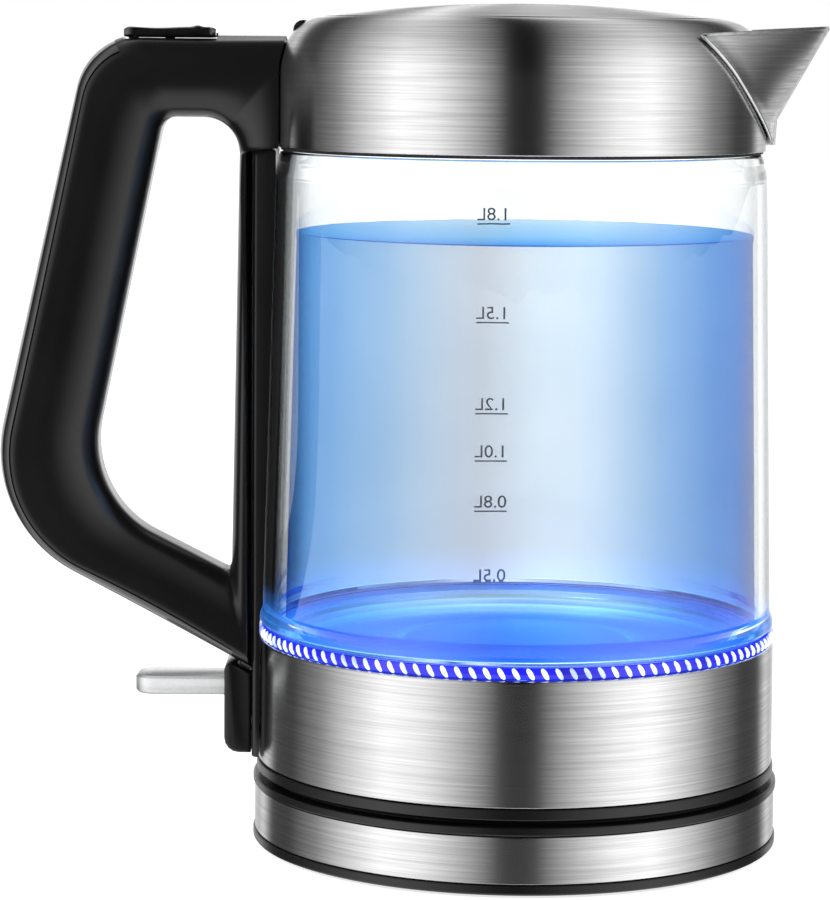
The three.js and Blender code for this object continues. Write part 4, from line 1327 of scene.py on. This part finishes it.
def ring_at(outer, inner, half):
    """A full ring of points across the loop from half a section of (depth, y)."""
    across = (inner - outer).normalized()
    whole = half + [(depth, -y) for depth, y in reversed(half[1:-1])]
    return [(outer.x + across.x * depth, y, outer.y + across.y * depth) for depth, y in whole]


def in_strip(outer):
    """Whether this place on the loop's back belongs to the glossy strip."""
    on_back = outer.x < STRIP_END or (outer.y < 150 and outer.x < STRIP_TONGUE)
    return on_back and not abs(outer.x + 79.2) < 0.5


shell_rings = []
strip_rings = []
whole = []
inside = False
for outer, inner in handle_stations():
    width = (inner - outer).length
    half = section(width)
    entering = in_strip(outer) and not inside
    leaving = inside and not in_strip(outer)
    if leaving:
        shell_rings.append(whole)
    inside = in_strip(outer)
    whole = ring_at(outer, inner, half)
    if entering:
        shell_rings.append(whole)
    if inside:
        pocket = half_width(STRIP_DEPTH + SEAM, width)
        cut = [(max(d, STRIP_DEPTH + SEAM), min(y, pocket) if d < STRIP_DEPTH + SEAM else y) for d, y in half]
        shell_rings.append(ring_at(outer, inner, cut))
        lip = half_width(STRIP_DEPTH, width)
        back = [(d, y) for d, y in section(width) if d < STRIP_DEPTH - 0.3]
        closing = [(STRIP_DEPTH - 0.3, half_width(STRIP_DEPTH - 0.3, width)), (STRIP_DEPTH, lip - 0.5),
                   (STRIP_DEPTH, lip * 0.5), (STRIP_DEPTH, 0)]
        strip_rings.append(ring_at(outer, inner, back + closing))
    else:
        shell_rings.append(whole)

handle = loop_mesh("handle_loop", shell_rings, SATIN_BLACK)
collar_room = turned("room", [
    (0, 195), (COLLAR_R + 0.4, 195), *shoulder(-0.4), (MOUTH_R, 252), (0, 252),
], SATIN_BLACK)
button_well = block((-117.6, -89.8), (-8.4, 8.4), (233, 250))
latch_tunnel = block((-118.5, -50), (-8, 8), (231.8, 238.4))
handle = sharp(carved(handle, collar_room, button_well, latch_tunnel), 40)
hand_in(handle, "jug", "satin_black", "handle_shell")


# ---- glossy strip down the handle's back ----
# A separate polished moulding snapped into the back of the loop, from behind the button down to
# a tongue by the switch. A fine seam shows on both sides.
def polished_abs():
    """Black ABS from a polished mould: deep and glossy, with a few hairline scratches."""
    scratch_mm = 3
    material, tree, surface = shader("polished black plastic", {
        "IOR": 1.54, "Coat Weight": 0.6, "Coat Roughness": 0.06,
    })
    where = add(tree, "ShaderNodeTexCoord").outputs["Object"]
    hair = noise(tree, where, 1000 / scratch_mm, 6.0)
    rough = add(tree, "ShaderNodeMapRange", {0: hair.outputs["Fac"], 1: 0.4, 2: 0.7, 3: 0.1, 4: 0.2})
    tone = ramp(tree, hair.outputs["Fac"], [(0.3, "#0d0d0e"), (0.7, "#161617")])
    tree.links.new(tone, surface.inputs["Base Color"])
    tree.links.new(rough.outputs[0], surface.inputs["Roughness"])
    return material


GLOSS_BLACK = polished_abs()
strip = sharp(loop_mesh("back_strip", strip_rings, GLOSS_BLACK, ends=True), 50)
hand_in(strip, "jug", "gloss_black", "handle_back_strip")


# ---- saddle between handle and jug ----
# A long moulded bar, hollowed to the glass on its inner side, that the handle's leg screws to.
# Its two long edges catch a thin line of light.
SADDLE_HALF = 13
SADDLE_X = -78.9


def jug_radius(z):
    """The outside radius of housing, glass and mouth at a height, with room to spare."""
    stations = [(0, 77.8), (66, 77.7), (70, 77.5), (72.5, 76.7), (186, 73.8), (200, 73.4), (300, 73.4)]
    for (z0, r0), (z1, r1) in zip(stations, stations[1:]):
        if z0 <= z <= z1:
            return r0 + (r1 - r0) * (z - z0) / (z1 - z0)


def saddle_ring(z, inset=0.0):
    """The saddle's section at a height: a bar with rounded back edges, hollow towards the jug."""
    reach = jug_radius(z) + inset
    half = SADDLE_HALF - inset
    corner = 1.3
    ring = []
    for side in (1, -1):
        for step in range(6)[::side]:
            t = math.pi / 2 * step / 5
            x = SADDLE_X + inset + corner * (1 - math.sin(t))
            ring.append((x, -side * (half - corner + corner * math.cos(t)), z))
    hollow = [-half * (1 - share / 10) for share in range(21)]
    ring += [(-math.sqrt(reach ** 2 - y ** 2), -y, z) for y in hollow]
    return ring


SADDLE_HEIGHTS = [26.4, 40, 55, 65, 68, 70, 71.5, 72.5, 90, 120, 150, 186, 200, 206.8]
saddle_rings = [saddle_ring(26, 0.4), *[saddle_ring(z) for z in SADDLE_HEIGHTS], saddle_ring(207.2, 0.4)]
saddle = sharp(loop_mesh("handle_saddle", saddle_rings, SATIN_BLACK, ends=True), 50)
hand_in(saddle, "jug", "satin_black", "handle_spine")


# ---- switch housing and what is in it ----
# The small moulding under the handle's leg. It holds the steam switch and the lever's pivot; the
# steam comes down the tube inside the leg.
switch_case = softened("switch_case", "switch_housing", 0.7, SATIN_BLACK, 3)
hand_in(switch_case, "jug", "satin_black", "switch_housing")
carried(BRASS, "steam_switch")
carried(SILICONE, "steam_tube")
carried(BRIGHT_STEEL, "switch_pivot", "button_spring", "hinge_pin", "lid_spring",
        "handle_screw_1", "handle_screw_2", "handle_screw_3")


# ---- switch lever ----
# A clear moulded paddle, frosted by its draft texture. It pivots in the switch housing and sticks
# out under the handle's leg.
def frosted_acrylic():
    """Clear acrylic with a fine frosting: whitish, soft, a little see-through, with painted shade greying it
    where it is seen edge-on.
    """
    grain_mm = 0.6
    material, tree, surface = shader("frosted clear acrylic", {
        "Roughness": 0.16, "IOR": 1.49, "Transmission Weight": 0.35, "Specular IOR Level": 0.7,
    })
    where = add(tree, "ShaderNodeTexCoord").outputs["Object"]
    frost = noise(tree, where, 1000 / grain_mm, 2.0)
    tone = ramp(tree, frost.outputs["Fac"], [(0.3, "#eceeee"), (0.7, "#f8f9f9")])
    # Painted shade: greyer where the paddle is seen edge-on.
    facing = add(tree, "ShaderNodeLayerWeight", {"Blend": 0.5}).outputs["Facing"]
    edge = ramp(tree, facing, [(0.2, "#ffffff"), (0.55, "#a4a6a8")])
    both = times(tree, tone, edge)
    tree.links.new(both, surface.inputs["Base Color"])
    return material


lever = softened("clear_lever", "switch_lever", 0.9, frosted_acrylic(), 3)
hand_in(lever, "lever", "clear_plastic", "switch_lever")


# ---- release button and latch ----
# The polished thumb button on top of the handle, a little dished, with a raised nib at its front.
# It pushes down on a spring and draws the latch back.
BUTTON_X = (-117.2, -90.2)
BUTTON_TOP = 243.2


def button_mesh(columns=28, rows=12):
    """A thin cushion whose top dips for the thumb and rises to a nib near its front end."""
    rings = []
    for i in range(columns + 1):
        u = i / columns
        end = min(u, 1 - u) * columns
        inset = 0.9 * max(0, 1 - end / 2) ** 2
        x = BUTTON_X[0] + (BUTTON_X[1] - BUTTON_X[0]) * u
        dip = 0.35 * math.sin(math.pi * min(u / 0.72, 1)) ** 2
        nib = 0.5 * math.exp(-((u - 0.8) / 0.045) ** 2)
        top = BUTTON_TOP - 0.5 - dip + nib - inset * 0.8
        half = 8 - inset
        ring = []
        for k in range(rows * 2):
            t = 2 * math.pi * k / (rows * 2)
            across = math.copysign(abs(math.cos(t)) ** 0.28, math.cos(t))
            rise = math.copysign(abs(math.sin(t)) ** 0.5, math.sin(t))
            low = 239.4 + inset * 0.3
            ring.append((x, half * across, (top + low) / 2 + (top - low) / 2 * rise))
        rings.append(ring)
    return rings


button = loop_mesh("thumb_button", button_mesh(), GLOSS_BLACK, ends=True)
button = carved(button, block((-120, -88), (-5.2, 5.2), (236, 240.9)))
stem = block((-105.5, -102.5), (-1.8, 1.8), (235.4, 241.6))
stem.data.materials.append(GLOSS_BLACK)
button = sharp(carved(button, stem, operation="UNION"), 45)
hand_in(button, "button", "gloss_black", "release_button")
latch = softened("latch_bar", "latch_slider", 0.4, SATIN_BLACK)
hand_in(latch, "latch", "satin_black", "latch_slider")


# ---- lid ----
# A shallow dome of brushed steel pressed over a black moulded plug. The plug carries the seal,
# the catch and the two hinge arms.
LID_R = 59.5
LID_EDGE = 246.2
LID_CROWN = 250.2


def crown(r, drop=0.0):
    """The dome's height at a radius."""
    return LID_CROWN - (LID_CROWN - LID_EDGE) * (r / LID_R) ** 2 - drop


dome = [(r, crown(r)) for r in range(56, 0, -4)]
lid_cap = turned("lid_dome", [
    (0, crown(0, 1)), (20, crown(20, 1)), (42, crown(42, 1)), (LID_R - 1, 245.1, 0.2),
    (LID_R, 245.1, 0.25), (LID_R, LID_EDGE, 0.45), *dome, (0, LID_CROWN),
], BRUSHED_STEEL)
hand_in(lid_cap, "lid", "brushed_steel", "lid_cap")
plug = softened("lid_plug", "lid_base", 0.4, SATIN_BLACK)
hand_in(plug, "lid", "satin_black", "lid_base")
lid_seal = turned("lid_gasket", [
    (56.3, 239.3, 0.4), (58.6, 239.3, 0.7), (58.6, 241.3, 0.7), (56.3, 241.3, 0.4),
], SILICONE, sides=128)
hand_in(lid_seal, "lid", "silicone", "lid_seal")
catch = softened("lid_latch_plate", "lid_catch", 0.3, BRIGHT_STEEL)
hand_in(catch, "lid", "bright_steel", "lid_catch")
